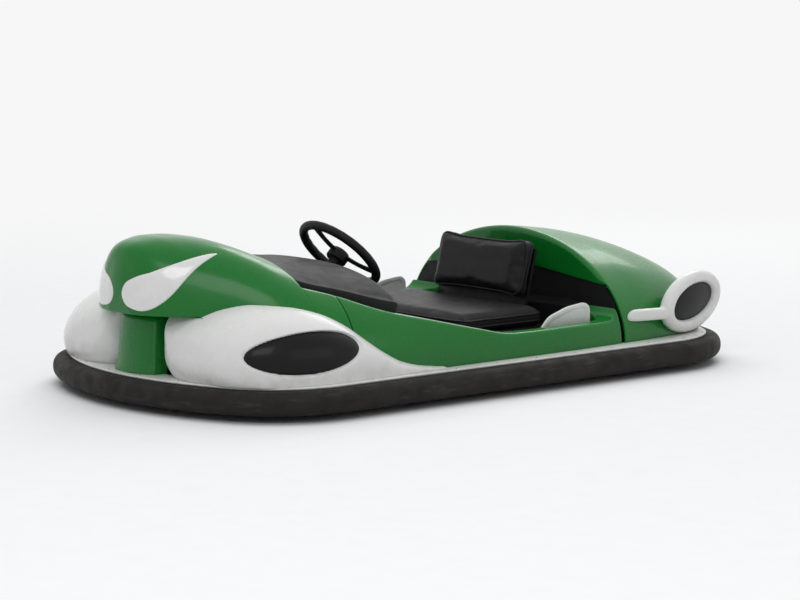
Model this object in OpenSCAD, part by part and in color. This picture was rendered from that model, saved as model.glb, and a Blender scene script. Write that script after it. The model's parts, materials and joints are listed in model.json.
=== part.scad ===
// Bumper car with a one-driver, two-seat open cockpit.
// Frame: +X to the nose, +Y to the car's left, +Z up, origin on the floor below the middle.

/* [Bumper and chassis] */
// Length over the rubber bumper
car_l = 2000; // [1900:10:2120]
// Width over the rubber bumper
car_w = 1150; // [1100:10:1220]
// Radius of the bumper's bowed front and rear ends
bow_r = 900; // [800:10:1100]
// Radius of the bumper's corners
corner_r = 320; // [260:5:350]
// Height of the bumper's underside above the floor
bumper_z = 18; // [12:1:24]
// Height of the rubber bumper
bumper_h = 64; // [56:1:72]
// Thickness of the rubber bumper
bumper_t = 58; // [50:1:66]
// Thickness of the steel band behind the bumper
band_t = 6; // [4:0.5:9]
// Height of the floor pan's underside
pan_z = 38; // [32:1:42]
// Thickness of the floor pan
pan_t = 6; // [4:0.5:8]
// Side of the square chassis tubes
tube_s = 30; // [24:1:36]

// Thickness of the white flange under the body's edge
flange_t = 6; // [4:0.5:9]

/* [Body] */
// Wall of the moulded body
wall = 8; // [5:0.5:11]
// Height of the nose above the floor
nose_top = 448; // [430:2:465]
// Height of the seat hump on the tail
tail_top = 388; // [375:2:405]
// Height of the entry sill beside the seat
entry_z = 156; // [150:1:168]
// Rear edge of the nose moulding
hood_x = 606; // [596:1:616]
// Gap between neighbouring mouldings
panel_gap = 3; // [2:0.5:4]
// Height of the white front fairings
pod_top = 304; // [290:2:312]
// Inset of the front fairings from the bumper's outer face
pod_in = 61; // [55:1:69]
// Half width of the keel on the nose
keel_hw = 90; // [80:1:100]
// Length of the oval in each front fairing
oval_l = 340; // [300:5:370]
// Height of the oval in each front fairing
oval_h = 112; // [96:2:120]
// Length of each rear ring
ring_l = 310; // [280:5:330]
// Height of each rear ring
ring_h = 172; // [160:2:174]
// Thickness of the rear ring's round bead
ring_t = 44; // [36:1:50]

/* [Cockpit] */
// Width of the seat
seat_w = 600; // [520:10:640]
// Depth of the seat cushion
seat_d = 340; // [300:5:360]
// Thickness of the seat cushion
seat_t = 58; // [46:1:66]
// Height of the seat back above the cushion
back_h = 178; // [160:2:186]
// Steering wheel diameter over the rim
wheel_d = 270; // [240:5:280]
// Thickness of the steering wheel's rim
rim_t = 26; // [20:1:30]
// Lean of the steering column from upright
column_tilt = 45; // [40:1:50]

/* [Running gear] */
// Drive wheel diameter
drive_d = 170; // [150:2:180]
// Drive wheel width
drive_tw = 46; // [36:1:52]
// Place of the drive unit's swivel along the car
swivel_x = 640; // [620:2:660]
// Rear wheel diameter
rear_d = 140; // [120:2:150]
// Rear wheel width
rear_tw = 40; // [30:1:48]
// Half of the rear track
rear_y = 330; // [300:2:345]
// Place of the rear axle along the car
rear_x = -620; // [-650:2:-590]
// Axle diameter
axle_d = 20; // [16:1:24]

/* [Hidden] */
$fn = 48;

// Clearances
fit = 0.3;          // between seated pieces
disc_sink = 12;     // depth of the ovals in the fairings
disc_t = 6;         // thickness of the ovals
bore_gap = 0.5;     // around a turning shaft
run_gap = 8;        // around a turning wheel

// Colours
green = [0.08, 0.42, 0.16];
white = [0.93, 0.93, 0.92];
black = [0.05, 0.05, 0.055];
steel = [0.55, 0.56, 0.58];
rubber = [0.09, 0.08, 0.08];

// Stations of the body follow the car's length and width
stretch = car_l / 2000;
widening = car_w / 1150;
tall = 2 * nose_top;  // height of the tools that cut the body
function along(x) = x * stretch;
function across(y) = y * widening;

// Bumper plan: tangent arcs, all sizes measured on the outer face
half_l = car_l / 2;
half_w = car_w / 2;
bow_x = half_l - bow_r;
corner_y = half_w - corner_r;
corner_x = bow_x + sqrt(pow(bow_r - corner_r, 2) - pow(corner_y, 2));
bow_a = atan2(corner_y, corner_x - bow_x);
pan_top = pan_z + pan_t;
bumper_top = bumper_z + bumper_h;
band_in = bumper_t + fit;            // outer face of the band, inward from the bumper's face
pan_in = band_in + band_t + fit;     // edge of the floor pan

flange_z = bumper_top + fit;
sill_z = flange_z + flange_t + fit;  // lower edge of the body
prow_z = 250;                        // underside of the nose where it overhangs the keel

prow_x = along(848);                 // front of the body below the overhang
pod_w = half_w - pod_in;             // half width across the front fairings

// Body sections: along the car, half width, height, squareness
sections = [
  [along(954), across(62), nose_top - 62, 2.6],
  [along(946), across(102), nose_top - 30, 2.6],
  [along(924), across(150), nose_top - 13, 2.6],
  [along(890), across(194), nose_top - 5, 2.6],
  [along(848), across(236), nose_top, 2.6],
  [along(800), across(284), nose_top - 1, 2.6],
  [along(740), across(344), nose_top - 7, 2.6],
  [along(680), across(396), nose_top - 24, 2.6],
  [along(620), across(432), nose_top - 48, 2.6],
  [along(560), across(458), nose_top - 70, 2.6],
  [along(460), across(480), nose_top - 84, 2.6],
  [along(320), across(488), nose_top - 96, 2.6],
  [along(0), across(488), tail_top - 38, 2.6],
  [along(-260), across(484), tail_top - 12, 2.4],
  [along(-430), across(476), tail_top, 2],
  [along(-560), across(466), tail_top - 12, 1.9],
  [along(-700), across(446), tail_top - 40, 1.9],
  [along(-800), across(416), tail_top - 74, 2],
  [along(-868), across(370), tail_top - 108, 2.2],
  [along(-896), across(318), tail_top - 133, 2.4],
  [along(-906), across(268), tail_top - 156, 2.4]];
form_l = 900;
arc_step = 9;

// Front fairing sections, in the same columns
pod_sections = [
  [along(908), pod_w - 218, pod_top - 118, 3.2],
  [along(900), pod_w - 170, pod_top - 94, 3.2],
  [along(880), pod_w - 124, pod_top - 70, 3.2],
  [along(848), pod_w - 84, pod_top - 46, 3.2],
  [along(800), pod_w - 48, pod_top - 20, 3.2],
  [along(740), pod_w - 22, pod_top - 3, 3.2],
  [along(670), pod_w - 6, pod_top, 3.2],
  [along(600), pod_w, pod_top - 10, 3.2],
  [along(540), pod_w, pod_top - 34, 3.2],
  [along(490), pod_w, pod_top - 72, 3.2],
  [along(440), pod_w, pod_top - 116, 3.2],
  [along(390), pod_w - 1, pod_top - 156, 3.2],
  [along(330), pod_w - 3, pod_top - 184, 3.2],
  [along(240), pod_w - 8, sill_z + 9, 3.2]];

// Height of the cockpit's rim along the car
rim_end_x = along(-450);
rim_line = [[hood_x, 322], [along(520), 297], [along(400), 253], [along(260), 219],
  [along(94), entry_z + 24], [0, entry_z + 4], [along(-90), entry_z], [along(-250), entry_z],
  [rim_end_x + 60, entry_z], [rim_end_x + 22, entry_z + 8], [rim_end_x + 5, entry_z + 34],
  [rim_end_x, entry_z + 80]];

// Half outline of the cockpit opening, seen from above
mouth_front = across(312);
mouth = [[hood_x, 0], [hood_x, mouth_front], [along(570), across(326)], [along(520), across(346)],
  [along(390), across(402)], [along(260), across(428)], [along(60), across(434)],
  [along(-200), across(434)], [rim_end_x + 100, across(428)], [rim_end_x + 36, across(396)],
  [rim_end_x + 12, across(320)], [rim_end_x + 12, 0]];
ledge_in = across(300);      // inner limit of the side panels' ledge
liner_front = along(424);    // the footwell's front wall
well_hw = across(395);       // and its half width
liner_t = 6;
cowl_rear = along(330);      // the dash face
dash_z = 252;                // lower edge of the dash face
bulkhead_hw = across(440);
bulkhead_top = 20;           // how far its broad foot rises into the tail

belt_y = across(330);
belt_hole = 12;
lug_l = 62;
lug_w = 32;
lug_t = 6;
shoe_x = [-300, 120];
shoe_l = 90;
shoe_w = 60;
shoe_gap = 5;         // between the contact shoes and the floor
back_w = 400;
back_t = 62;
seat_top = 190;
seat_front = 16;
seat_rear = seat_front - seat_d;
back_lean = 14;
board_t = 9;
hub_x = liner_front - 219;
hub_z = 352;
column_d = 32;
foot_t = 8;
pedal_y = -95;
pedal_l = 92;
pedal_w = 60;
drive_z = drive_d / 2;
rear_z = rear_d / 2;
turntable_d = drive_d + 110;
well_d = drive_d + 60;
cheek_t = 10;
mat_t = 5;
mat_w = across(680);
side_y = across(408);        // white panels beside the seat
side_t = 8;
side_l = 210;
side_h = 164;
frame_y = across(370);       // centre line of the long chassis tubes
frame_rear = rim_end_x + 38;
frame_front = liner_front - 8;
tube_rear = frame_front - tube_s;
mat_l = tube_rear - 30 - seat_front;
pedal_x = tube_rear - 134;
oval_c = [along(690), 170];
ring_c = [along(-764), 180];
ring_y = across(436);
arm_end = [along(-476), across(450), 184];
arm_d = 12;
ring_turn = 14;
ring_tilt = 9;
hood_split = along(520);
tail_split = rim_end_x + 5;

// A smooth curve through points
function mix4(a, b, c, d, t) = 0.5 * ((2 * b) + (c - a) * t + (2 * a - 5 * b + 4 * c - d) * t * t
  + (3 * b - a - 3 * c + d) * t * t * t);
function curve(p, k) = [for (i = [0 : len(p) - 2], j = [0 : k - 1])
  mix4(p[max(i - 1, 0)], p[i], p[i + 1], p[min(i + 2, len(p) - 1)], j / k), p[len(p) - 1]];
function flipped(p) = [for (i = [len(p) - 1 : -1 : 0]) [p[i][0], -p[i][1]]];

// The bumper's plan, inset by d, as one closed list of points
function arc(c, r, a0, a1, n) = [for (i = [0 : n]) c + r * [cos(a0 + (a1 - a0) * i / n),
  sin(a0 + (a1 - a0) * i / n)]];
function plan_corner(d) = concat(arc([bow_x, 0], bow_r - d, 0, bow_a * 0.75, 3),
  arc([corner_x, corner_y], corner_r - d, bow_a, 90, 7));
function plan_side(d) = concat(plan_corner(d),
  [for (i = [len(plan_corner(d)) - 1 : -1 : 1]) [-plan_corner(d)[i][0], plan_corner(d)[i][1]]]);
function plan(d) = concat(plan_side(d), [for (q = plan_side(d)) -q]);

// Faces of a tube through closed rings of n points each, open or joined end to start
function skin(rings, n, joined) = [for (i = [0 : rings - (joined ? 1 : 2)], j = [0 : n - 1])
  [i * n + j, i * n + (j + 1) % n, ((i + 1) % rings) * n + (j + 1) % n, ((i + 1) % rings) * n + j]];

// A profile carried round the bumper plan: its points are [inset, height]
module loop(profile) {
  rings = [for (q = profile) [for (v = plan(q[0])) [v[0], v[1], q[1]]]];
  n = len(rings[0]);
  polyhedron(points = [for (r = rings, v = r) v], faces = skin(len(rings), n, true), convexity = 6);
}

// Loft through sections, grown by g; an open lower edge stays open when it shrinks
function base(g) = sill_z - (g < 0 ? 1 : 0);
function egg(s, g) = [for (a = [0 : arc_step : 180])
  [s[0] * (1 + g / form_l), (s[1] + g) * sign(cos(a)) * pow(abs(cos(a)), 2 / s[3]),
    base(g) + (s[2] + g - base(g)) * pow(abs(sin(a)), 2 / s[3])]];
module span(a, b) {
  hull() polyhedron(points = concat(a, b), faces = [[for (i = [len(a) - 1 : -1 : 0]) i],
    [for (i = [0 : len(b) - 1]) len(a) + i]]);
}
module loft(table, g) {
  for (i = [0 : len(table) - 2]) span(egg(table[i], g), egg(table[i + 1], g));
}
// The whole body, cut back under the nose
module form(g) {
  difference() {
    loft(sections, g);
    translate([prow_x + g, -half_w, 0]) cube([half_l, car_w, prow_z - g]);
  }
}
function footprint(g) = [for (s = sections) if (s[0] <= prow_x) [s[0] * (1 + g / form_l), s[1] + g]];
module foot_plan(g) {
  polygon(concat(footprint(g), flipped(footprint(g))));
}

// Everything below the cockpit's rim, lowered by d
module under_rim(d) {
  rotate([90, 0, 0]) linear_extrude(2 * half_w, center = true)
    polygon(concat([[half_l, tall], [hood_x, tall]], [for (q = curve(rim_line, 4)) [q[0], q[1] - d]],
      [[rim_end_x, tall], [-half_l, tall], [-half_l, 0], [half_l, 0]]));
}
module mouth_plan() {
  polygon(concat(curve(mouth, 4), flipped(curve(mouth, 4))));
}
module mouth_cut() {
  translate([0, 0, -1]) linear_extrude(tall) mouth_plan();
}
module shell() {
  difference() {
    intersection() {
      form(0);
      under_rim(0);
    }
    intersection() {
      form(-wall);
      under_rim(wall);
    }
    mouth_cut();
  }
}
// A slab of the car between two stations
module between(x0, x1) {
  translate([x0, -half_w, 0]) cube([x1 - x0, car_w, tall]);
}
module beside(sy) {
  mirror([0, sy > 0 ? 0 : 1, 0]) children();
}

module hood() {
  color(green) intersection() {
    shell();
    between(hood_split + panel_gap / 2, half_l);
  }
}
module side_panel(sy) {
  color(green) intersection() {
    shell();
    between(tail_split + panel_gap / 2, hood_split - panel_gap / 2);
    beside(sy) translate([-half_l, ledge_in, 0]) cube([car_l, half_w, tall]);
  }
}
module side_panel_left() {
  side_panel(1);
}
module side_panel_right() {
  side_panel(-1);
}
// The tail, with the face that turns down behind the seat
tail_lip = [[-half_w, 228], [across(-300), 258], [0, 284], [across(300), 258], [half_w, 228],
  [half_w, tall], [-half_w, tall]];
module tail_body() {
  color(green) union() {
    intersection() {
      shell();
      between(-half_l, tail_split - panel_gap / 2);
    }
    intersection() {
      form(-wall / 2);
      translate([rim_end_x - wall, 0, 0]) rotate([90, 0, 90]) linear_extrude(wall)
        polygon(curve(concat(tail_lip, [tail_lip[0]]), 1));
    }
  }
}

// Upright beak under the nose, standing on the flange
module nose_keel() {
  color(green) difference() {
    translate([0, 0, sill_z]) linear_extrude(prow_z - 8 - sill_z, scale = [0.985, 0.9], slices = 1)
      polygon([[prow_x - 100, -keel_hw], [prow_x + 48, -keel_hw], [prow_x + 74, -keel_hw * 0.72],
        [prow_x + 84, 0], [prow_x + 74, keel_hw * 0.72], [prow_x + 48, keel_hw],
        [prow_x - 100, keel_hw]]);
    form(fit);
  }
}

// Front fairings: shells that wrap the nose's corners and trail into the sill
module oval_plug(h, g) {
  translate([oval_c[0], 0, oval_c[1]]) rotate([-90, 0, 0]) rotate(3)
    linear_extrude(h) scale([oval_l + 2 * g, oval_h + 2 * g]) circle(0.5, $fn = 40);
}
module pod_band(g0, g1) {
  difference() {
    loft(pod_sections, g0);
    loft(pod_sections, g1);
  }
}
module front_pod(sy) {
  color(white) beside(sy) difference() {
    union() {
      pod_band(0, -wall);
      intersection() {
        pod_band(-wall / 2, -disc_sink - wall);
        oval_plug(half_w, wall);
      }
    }
    form(fit);
    intersection() {
      oval_plug(half_w, 0);
      pod_band(20, -disc_sink);
    }
    linear_extrude(tall) polygon([[half_l, -half_w], [half_l, keel_hw + 75], [prow_x + 42, keel_hw + 26],
      [prow_x + 20, keel_hw + 4], [-half_l, keel_hw + 4], [-half_l, -half_w]]);
  }
}
module front_pod_left() {
  front_pod(1);
}
module front_pod_right() {
  front_pod(-1);
}
module pod_disc(sy) {
  color(black) beside(sy) difference() {
    intersection() {
      oval_plug(half_w, -bore_gap);
      pod_band(-disc_sink + disc_t, -disc_sink + fit);
      translate([0, keel_hw + 100, 0]) cube([half_l, half_w, tall]);
    }
    form(fit);
  }
}
module pod_disc_left() {
  pod_disc(1);
}
module pod_disc_right() {
  pod_disc(-1);
}

// White teardrop on each side of the nose
lamp_edge = [[20, 302], [36, 334], [74, 353], [110, 366], [145, 387], [180, 410],
  [186, 388], [168, 318], [136, 278], [92, 262], [40, 272]];
lamp_t = 6;
lamp_from = along(740);
module headlamp(sy) {
  color(white) beside(sy) intersection() {
    difference() {
      form(lamp_t);
      form(fit);
    }
    translate([lamp_from, 0, 0]) rotate([90, 0, 90]) linear_extrude(half_l)
      polygon(curve(concat(lamp_edge, [lamp_edge[0]]), 3));
  }
}
module headlamp_left() {
  headlamp(1);
}
module headlamp_right() {
  headlamp(-1);
}

// Rear ring with its forward arm
bead_steps = 28;
bead_sides = 10;
function bead_ring(a, g) = [for (b = [359.9 : -360 / bead_sides : 0])
  [(ring_l - ring_t + (ring_t + g) * cos(b)) / 2 * cos(a), (ring_t + g) / 2 * sin(b),
    (ring_h - ring_t + (ring_t + g) * cos(b)) / 2 * sin(a)]];
module ring_place() {
  translate([ring_c[0], ring_y, ring_c[1]]) rotate([0, 0, ring_turn]) rotate([0, ring_tilt, 0])
    children();
}
module ring_bead(g) {
  rings = [for (i = [0 : bead_steps - 1]) bead_ring(i * 360 / bead_steps, g)];
  polyhedron(points = [for (r = rings, v = r) v], faces = skin(bead_steps, bead_sides, true),
    convexity = 6);
}
module rear_ring(sy) {
  color(white) beside(sy) difference() {
    union() {
      ring_place() ring_bead(0);
      hull() {
        ring_place() translate([(ring_l - ring_t) / 2, 0, -12]) sphere(d = ring_t, $fn = 12);
        translate(arm_end) sphere(d = arm_d, $fn = 12);
      }
    }
    form(fit);
  }
}
module rear_ring_left() {
  rear_ring(1);
}
module rear_ring_right() {
  rear_ring(-1);
}
module rear_disc(sy) {
  color(black) beside(sy) difference() {
    ring_place() rotate([90, 0, 0]) linear_extrude(16, center = true)
      scale([ring_l - 2 * ring_t + 8, ring_h - 2 * ring_t + 8]) circle(0.5, $fn = 40);
    ring_place() ring_bead(2 * fit);
    form(fit);
  }
}
module rear_disc_left() {
  rear_disc(1);
}
module rear_disc_right() {
  rear_disc(-1);
}

// Rubber bumper: flat at the back, rounded on its outer face
module bumper_tube() {
  color(rubber) loop([[bumper_t, bumper_z], [bumper_t, bumper_top], [bumper_t * 0.45, bumper_top],
    [bumper_t * 0.2, bumper_top - bumper_h * 0.08], [bumper_t * 0.05, bumper_top - bumper_h * 0.26],
    [0, bumper_z + bumper_h / 2], [bumper_t * 0.05, bumper_z + bumper_h * 0.26],
    [bumper_t * 0.2, bumper_z + bumper_h * 0.08], [bumper_t * 0.45, bumper_z]]);
}
module bumper_band() {
  color(steel) translate([0, 0, bumper_z + 4]) linear_extrude(bumper_h - 4) difference() {
    polygon(plan(band_in));
    polygon(plan(band_in + band_t));
  }
}
// White flange that carries the body's edge all round
module sill_trim() {
  color(white) translate([0, 0, flange_z]) difference() {
    linear_extrude(flange_t) polygon(plan(bumper_t - 14));
    translate([0, 0, -1]) linear_extrude(flange_t + 2) foot_plan(-wall - 14);
  }
}

// Steel floor pan with the openings for the wheels
module floor_pan() {
  color(steel) difference() {
    translate([0, 0, pan_z]) linear_extrude(pan_t) polygon(plan(pan_in));
    translate([swivel_x, 0, 0]) cylinder(d = well_d, h = 100);
    for (sy = [-1, 1]) translate([rear_x - rear_d / 2 - run_gap, sy * rear_y - rear_tw / 2 - run_gap, 0])
      cube([rear_d + 2 * run_gap, rear_tw + 2 * run_gap, 100]);
    for (px = shoe_x) translate([px - fit, -shoe_w / 2 - fit, 0])
      cube([shoe_l + 2 * fit, shoe_w + 2 * fit, 100]);
  }
}
// Ladder of square tubes on the pan, with the lugs for the lap belts
module chassis_frame() {
  color(steel) translate([0, 0, pan_top + fit]) difference() {
    union() {
      for (sy = [-1, 1]) translate([frame_rear, sy * frame_y - tube_s / 2, 0])
        cube([frame_front - frame_rear, tube_s, tube_s]);
      for (px = [frame_rear, tube_rear]) translate([px, -frame_y, 0])
        cube([tube_s, 2 * frame_y, tube_s]);
      for (sy = [-1, 1]) translate([frame_rear, sy * belt_y - lug_w / 2, tube_s - 1])
        cube([lug_l, lug_w, lug_t + 1]);
    }
    for (sy = [-1, 1]) translate([frame_rear + lug_l - lug_w / 2, sy * belt_y, 0])
      cylinder(d = belt_hole, h = 2 * tube_s);
  }
}

module swivel_bearing() {
  color(steel) difference() {
    translate([swivel_x, 0, pan_top + fit]) cylinder(d = turntable_d + 10, h = 12);
    translate([swivel_x, 0, 0]) cylinder(d = well_d, h = 200);
  }
}
// Turntable, fork and motor plate of the drive unit
module drive_frame() {
  table_z = pan_top + 12 + 2 * fit;
  cheek_y = drive_tw / 2 + run_gap;
  plate_z = drive_d + 12;
  color(steel) difference() {
    union() {
      translate([swivel_x, 0, table_z]) cylinder(d = turntable_d, h = 10);
      translate([swivel_x, 0, table_z - 10]) cylinder(d = well_d - 2 * bore_gap, h = 12);
      for (sy = [-1, 1]) translate([swivel_x - 38, sy * (cheek_y + cheek_t / 2) - cheek_t / 2, table_z - 8])
        cube([76, cheek_t, plate_z - table_z + 9]);
      translate([swivel_x - 74, -74, plate_z]) cube([148, 148, 8]);
    }
    translate([swivel_x - drive_d / 2 - run_gap, -cheek_y, 0])
      cube([drive_d + 2 * run_gap, 2 * cheek_y, plate_z - 2]);
    translate([swivel_x, 0, drive_z]) rotate([90, 0, 0])
      cylinder(d = axle_d + 2 * bore_gap, h = 2 * well_d, center = true);
  }
}
module drive_motor() {
  color([0.25, 0.26, 0.28]) translate([swivel_x, 0, drive_d + 20 + fit]) cylinder(d = 146, h = 128);
}
module drive_hub() {
  color(steel) translate([swivel_x, 0, drive_z]) rotate([90, 0, 0]) {
    cylinder(d = drive_d - 50, h = drive_tw - 2, center = true);
    cylinder(d = axle_d, h = drive_tw + 2 * run_gap + 2 * cheek_t + 8, center = true);
  }
}
module tyre(d, bore, w) {
  rotate([90, 0, 0]) rotate_extrude($fn = 96) polygon([[bore / 2, -w / 2], [d / 2 - 5, -w / 2],
    [d / 2, -w / 2 + 6], [d / 2, w / 2 - 6], [d / 2 - 5, w / 2], [bore / 2, w / 2]]);
}
module drive_tyre() {
  color(rubber) translate([swivel_x, 0, drive_z]) tyre(drive_d, drive_d - 50, drive_tw);
}
// Fixed rear axle on four pillars that stand on the pan
module rear_axle() {
  pillar_t = 12;
  beside_tyre = rear_tw / 2 + run_gap + 1 + pillar_t / 2;
  color(steel) {
    translate([rear_x, 0, rear_z]) rotate([90, 0, 0])
      cylinder(d = axle_d, h = 2 * (rear_y + rear_tw / 2 + run_gap + pillar_t) + 8, center = true);
    for (sy = [-1, 1], side = [-1, 1])
      translate([rear_x - 22, sy * (rear_y + side * beside_tyre) - pillar_t / 2, pan_top + fit])
        cube([44, pillar_t, rear_z + axle_d - pan_top]);
  }
}
module rear_hub(sy) {
  color(steel) translate([rear_x, sy * rear_y, rear_z]) rotate([90, 0, 0]) difference() {
    union() {
      cylinder(d = rear_d - 50, h = rear_tw - 2, center = true);
      cylinder(d = axle_d + 16, h = rear_tw + 2 * run_gap, center = true);
    }
    cylinder(d = axle_d + 2 * bore_gap, h = rear_tw + 40, center = true);
  }
}
module rear_hub_left() {
  rear_hub(1);
}
module rear_hub_right() {
  rear_hub(-1);
}
module rear_tyre_left() {
  color(rubber) translate([rear_x, rear_y, rear_z]) tyre(rear_d, rear_d - 50, rear_tw);
}
module rear_tyre_right() {
  color(rubber) translate([rear_x, -rear_y, rear_z]) tyre(rear_d, rear_d - 50, rear_tw);
}
// Sprung contact shoes, guided in the pan's openings, just off the floor
module pickup_shoes() {
  color([0.6, 0.4, 0.2]) for (px = shoe_x) translate([px, -shoe_w / 2, shoe_gap])
    cube([shoe_l, shoe_w, pan_top - shoe_gap]);
}

module liner_plan(g) {
  intersection() {
    offset(delta = g) mouth_plan();
    translate([-half_l, -half_w]) square([half_l + liner_front, car_w]);
  }
}
// Black inner walls of the cockpit, from the pan to the underside of the rim
module cockpit_liner() {
  low = pan_top + fit;
  color(black) union() {
    intersection() {
      translate([0, 0, low]) linear_extrude(tall) difference() {
        liner_plan(liner_t + 2);
        liner_plan(2);
      }
      under_rim(wall + fit);
    }
    translate([liner_front - liner_t, 0, 0]) rotate([90, 0, 90]) linear_extrude(liner_t)
      polygon([[-well_hw, low], [well_hw, low], [well_hw, dash_z - 52], [well_hw - 73, dash_z + 48],
        [73 - well_hw, dash_z + 48], [-well_hw, dash_z - 52]]);
  }
}
// Panel behind the seat, inside the tail
module rear_bulkhead() {
  color(black) intersection() {
    translate([rim_end_x - wall - fit - liner_t, -half_w, pan_top + fit]) cube([liner_t, car_w, tall]);
    union() {
      intersection() {
        form(-wall - fit);
        translate([-half_l, -half_w, sill_z]) cube([car_l, car_w, tall]);
      }
      linear_extrude(sill_z + bulkhead_top) square([car_l, 2 * bulkhead_hw], center = true);
    }
  }
}
// Black cowl behind the nose, with its skirts and the dash face
module dash_cowl() {
  color(black) intersection() {
    form(-1);
    between(cowl_rear, hood_x);
    translate([0, 0, 100]) linear_extrude(tall) offset(delta = -fit) mouth_plan();
    difference() {
      translate([0, -half_w, 0]) cube([car_l, car_w, tall]);
      difference() {
        form(-1 - liner_t);
        translate([0, 0, 100]) linear_extrude(tall) difference() {
          mouth_plan();
          offset(delta = -liner_t) mouth_plan();
          translate([hood_x - 4 * liner_t, liner_t - mouth_front])
            square([8 * liner_t, 2 * (mouth_front - liner_t)]);
        }
        translate([cowl_rear, -half_w, dash_z]) cube([liner_t, car_w, tall]);
      }
      under_rim(wall + 12);
    }
  }
}
// Box under the cushion, with the leaning board that carries the back
module back_place() {
  translate([seat_rear - 18, 0, seat_top + fit]) rotate([0, -back_lean, 0]) children();
}
module seat_box() {
  box_top = seat_top - seat_t - fit;
  box_l = seat_d - 20;
  box_w = seat_w - 20;
  color(black) difference() {
    union() {
      translate([seat_rear, -box_w / 2, pan_top + fit]) cube([box_l, box_w, box_top - pan_top - fit]);
      back_place() translate([-board_t - fit, -back_w / 2 + 20, -120])
        cube([board_t, back_w - 40, 120 + back_h - 24]);
    }
    translate([-half_l, -half_w, 0]) cube([car_l, car_w, pan_top + fit]);
    translate([seat_rear - fit, -half_w, box_top]) cube([seat_d, car_w, seat_t]);
    translate([seat_rear + wall, wall - box_w / 2, 0])
      cube([box_l - 2 * wall, box_w - 2 * wall, box_top - wall]);
  }
}
module pad(l, w, t, r) {
  hull() for (px = [r, l - r], py = [-w / 2 + r, w / 2 - r], pz = [r, t - r])
    translate([px, py, pz]) sphere(r, $fn = 16);
}
module seat_cushion() {
  color(black) translate([seat_rear, 0, seat_top - seat_t]) pad(seat_d, seat_w, seat_t, 20);
}
module seat_back() {
  color(black) back_place() pad(back_t, back_w, back_h, 24);
}
// White panels between the seat's rear corners and the side walls
module seat_side_panels() {
  color(white) for (sy = [-1, 1]) translate([frame_rear + tube_s + 2, sy * side_y, pan_top + fit])
    rotate([90, 0, 0]) linear_extrude(side_t, center = true)
      polygon([[0, 0], [side_l, 0], [side_l - 14, side_h - 68], [side_l - 50, side_h - 30],
        [side_l - 120, side_h - 8], [20, side_h], [0, side_h - 14]]);
}
module floor_mat() {
  color(rubber) translate([seat_front, -mat_w / 2, pan_top + fit]) cube([mat_l, mat_w, mat_t]);
}
// Foot pedal on a base plate, right of the column
module pedal() {
  base_l = pedal_l + 18;
  color(steel) translate([pedal_x, pedal_y - pedal_w / 2, pan_top + mat_t + 2 * fit]) {
    translate([0, -5, 0]) cube([base_l, pedal_w + 10, 5]);
    translate([8, 0, 4]) rotate([0, -24, 0]) cube([pedal_l, pedal_w, 6]);
    translate([pedal_l * 0.76, pedal_w * 0.3, 4]) cube([20, pedal_w * 0.4, 26]);
  }
}
module steering_column() {
  wall_x = liner_front - liner_t - fit;
  reach = (wall_x - hub_x) / sin(column_tilt);
  color(black) intersection() {
    union() {
      translate([hub_x, 0, hub_z]) rotate([0, -column_tilt, 0])
        translate([0, 0, -reach - 60]) cylinder(d = column_d, h = reach + 60 - 24 - fit);
      translate([wall_x - foot_t, 0, hub_z - (wall_x + fit - hub_x) / tan(column_tilt)])
        rotate([0, 90, 0]) cylinder(d = 3 * column_d, h = foot_t);
    }
    translate([0, -half_w, 0]) cube([wall_x, car_w, tall]);
  }
}
module steering_wheel() {
  color(black) translate([hub_x, 0, hub_z]) rotate([0, -column_tilt, 0]) {
    rotate_extrude($fn = 64) translate([(wheel_d - rim_t) / 2, 0]) circle(d = rim_t);
    translate([0, 0, -24]) cylinder(d = 62, h = 34);
    for (a = [0, 120, 240]) rotate(a) translate([0, -13, -6]) cube([(wheel_d - rim_t) / 2, 26, 8]);
  }
}

floor_pan();
chassis_frame();
bumper_band();
bumper_tube();
sill_trim();
hood();
side_panel_left();
side_panel_right();
tail_body();
nose_keel();
front_pod_left();
front_pod_right();
pod_disc_left();
pod_disc_right();
headlamp_left();
headlamp_right();
rear_ring_left();
rear_ring_right();
rear_disc_left();
rear_disc_right();
cockpit_liner();
rear_bulkhead();
dash_cowl();
seat_box();
seat_cushion();
seat_back();
seat_side_panels();
floor_mat();
pedal();
steering_column();
steering_wheel();
swivel_bearing();
drive_frame();
drive_motor();
drive_hub();
drive_tyre();
rear_axle();
rear_hub_left();
rear_hub_right();
rear_tyre_left();
rear_tyre_right();
pickup_shoes();
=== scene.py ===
import json
import math

import bmesh
import bpy
import numpy as np
from bpy.props import FloatProperty, FloatVectorProperty, PointerProperty
from mathutils import Matrix, Vector
from mathutils.bvhtree import BVHTree


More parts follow.
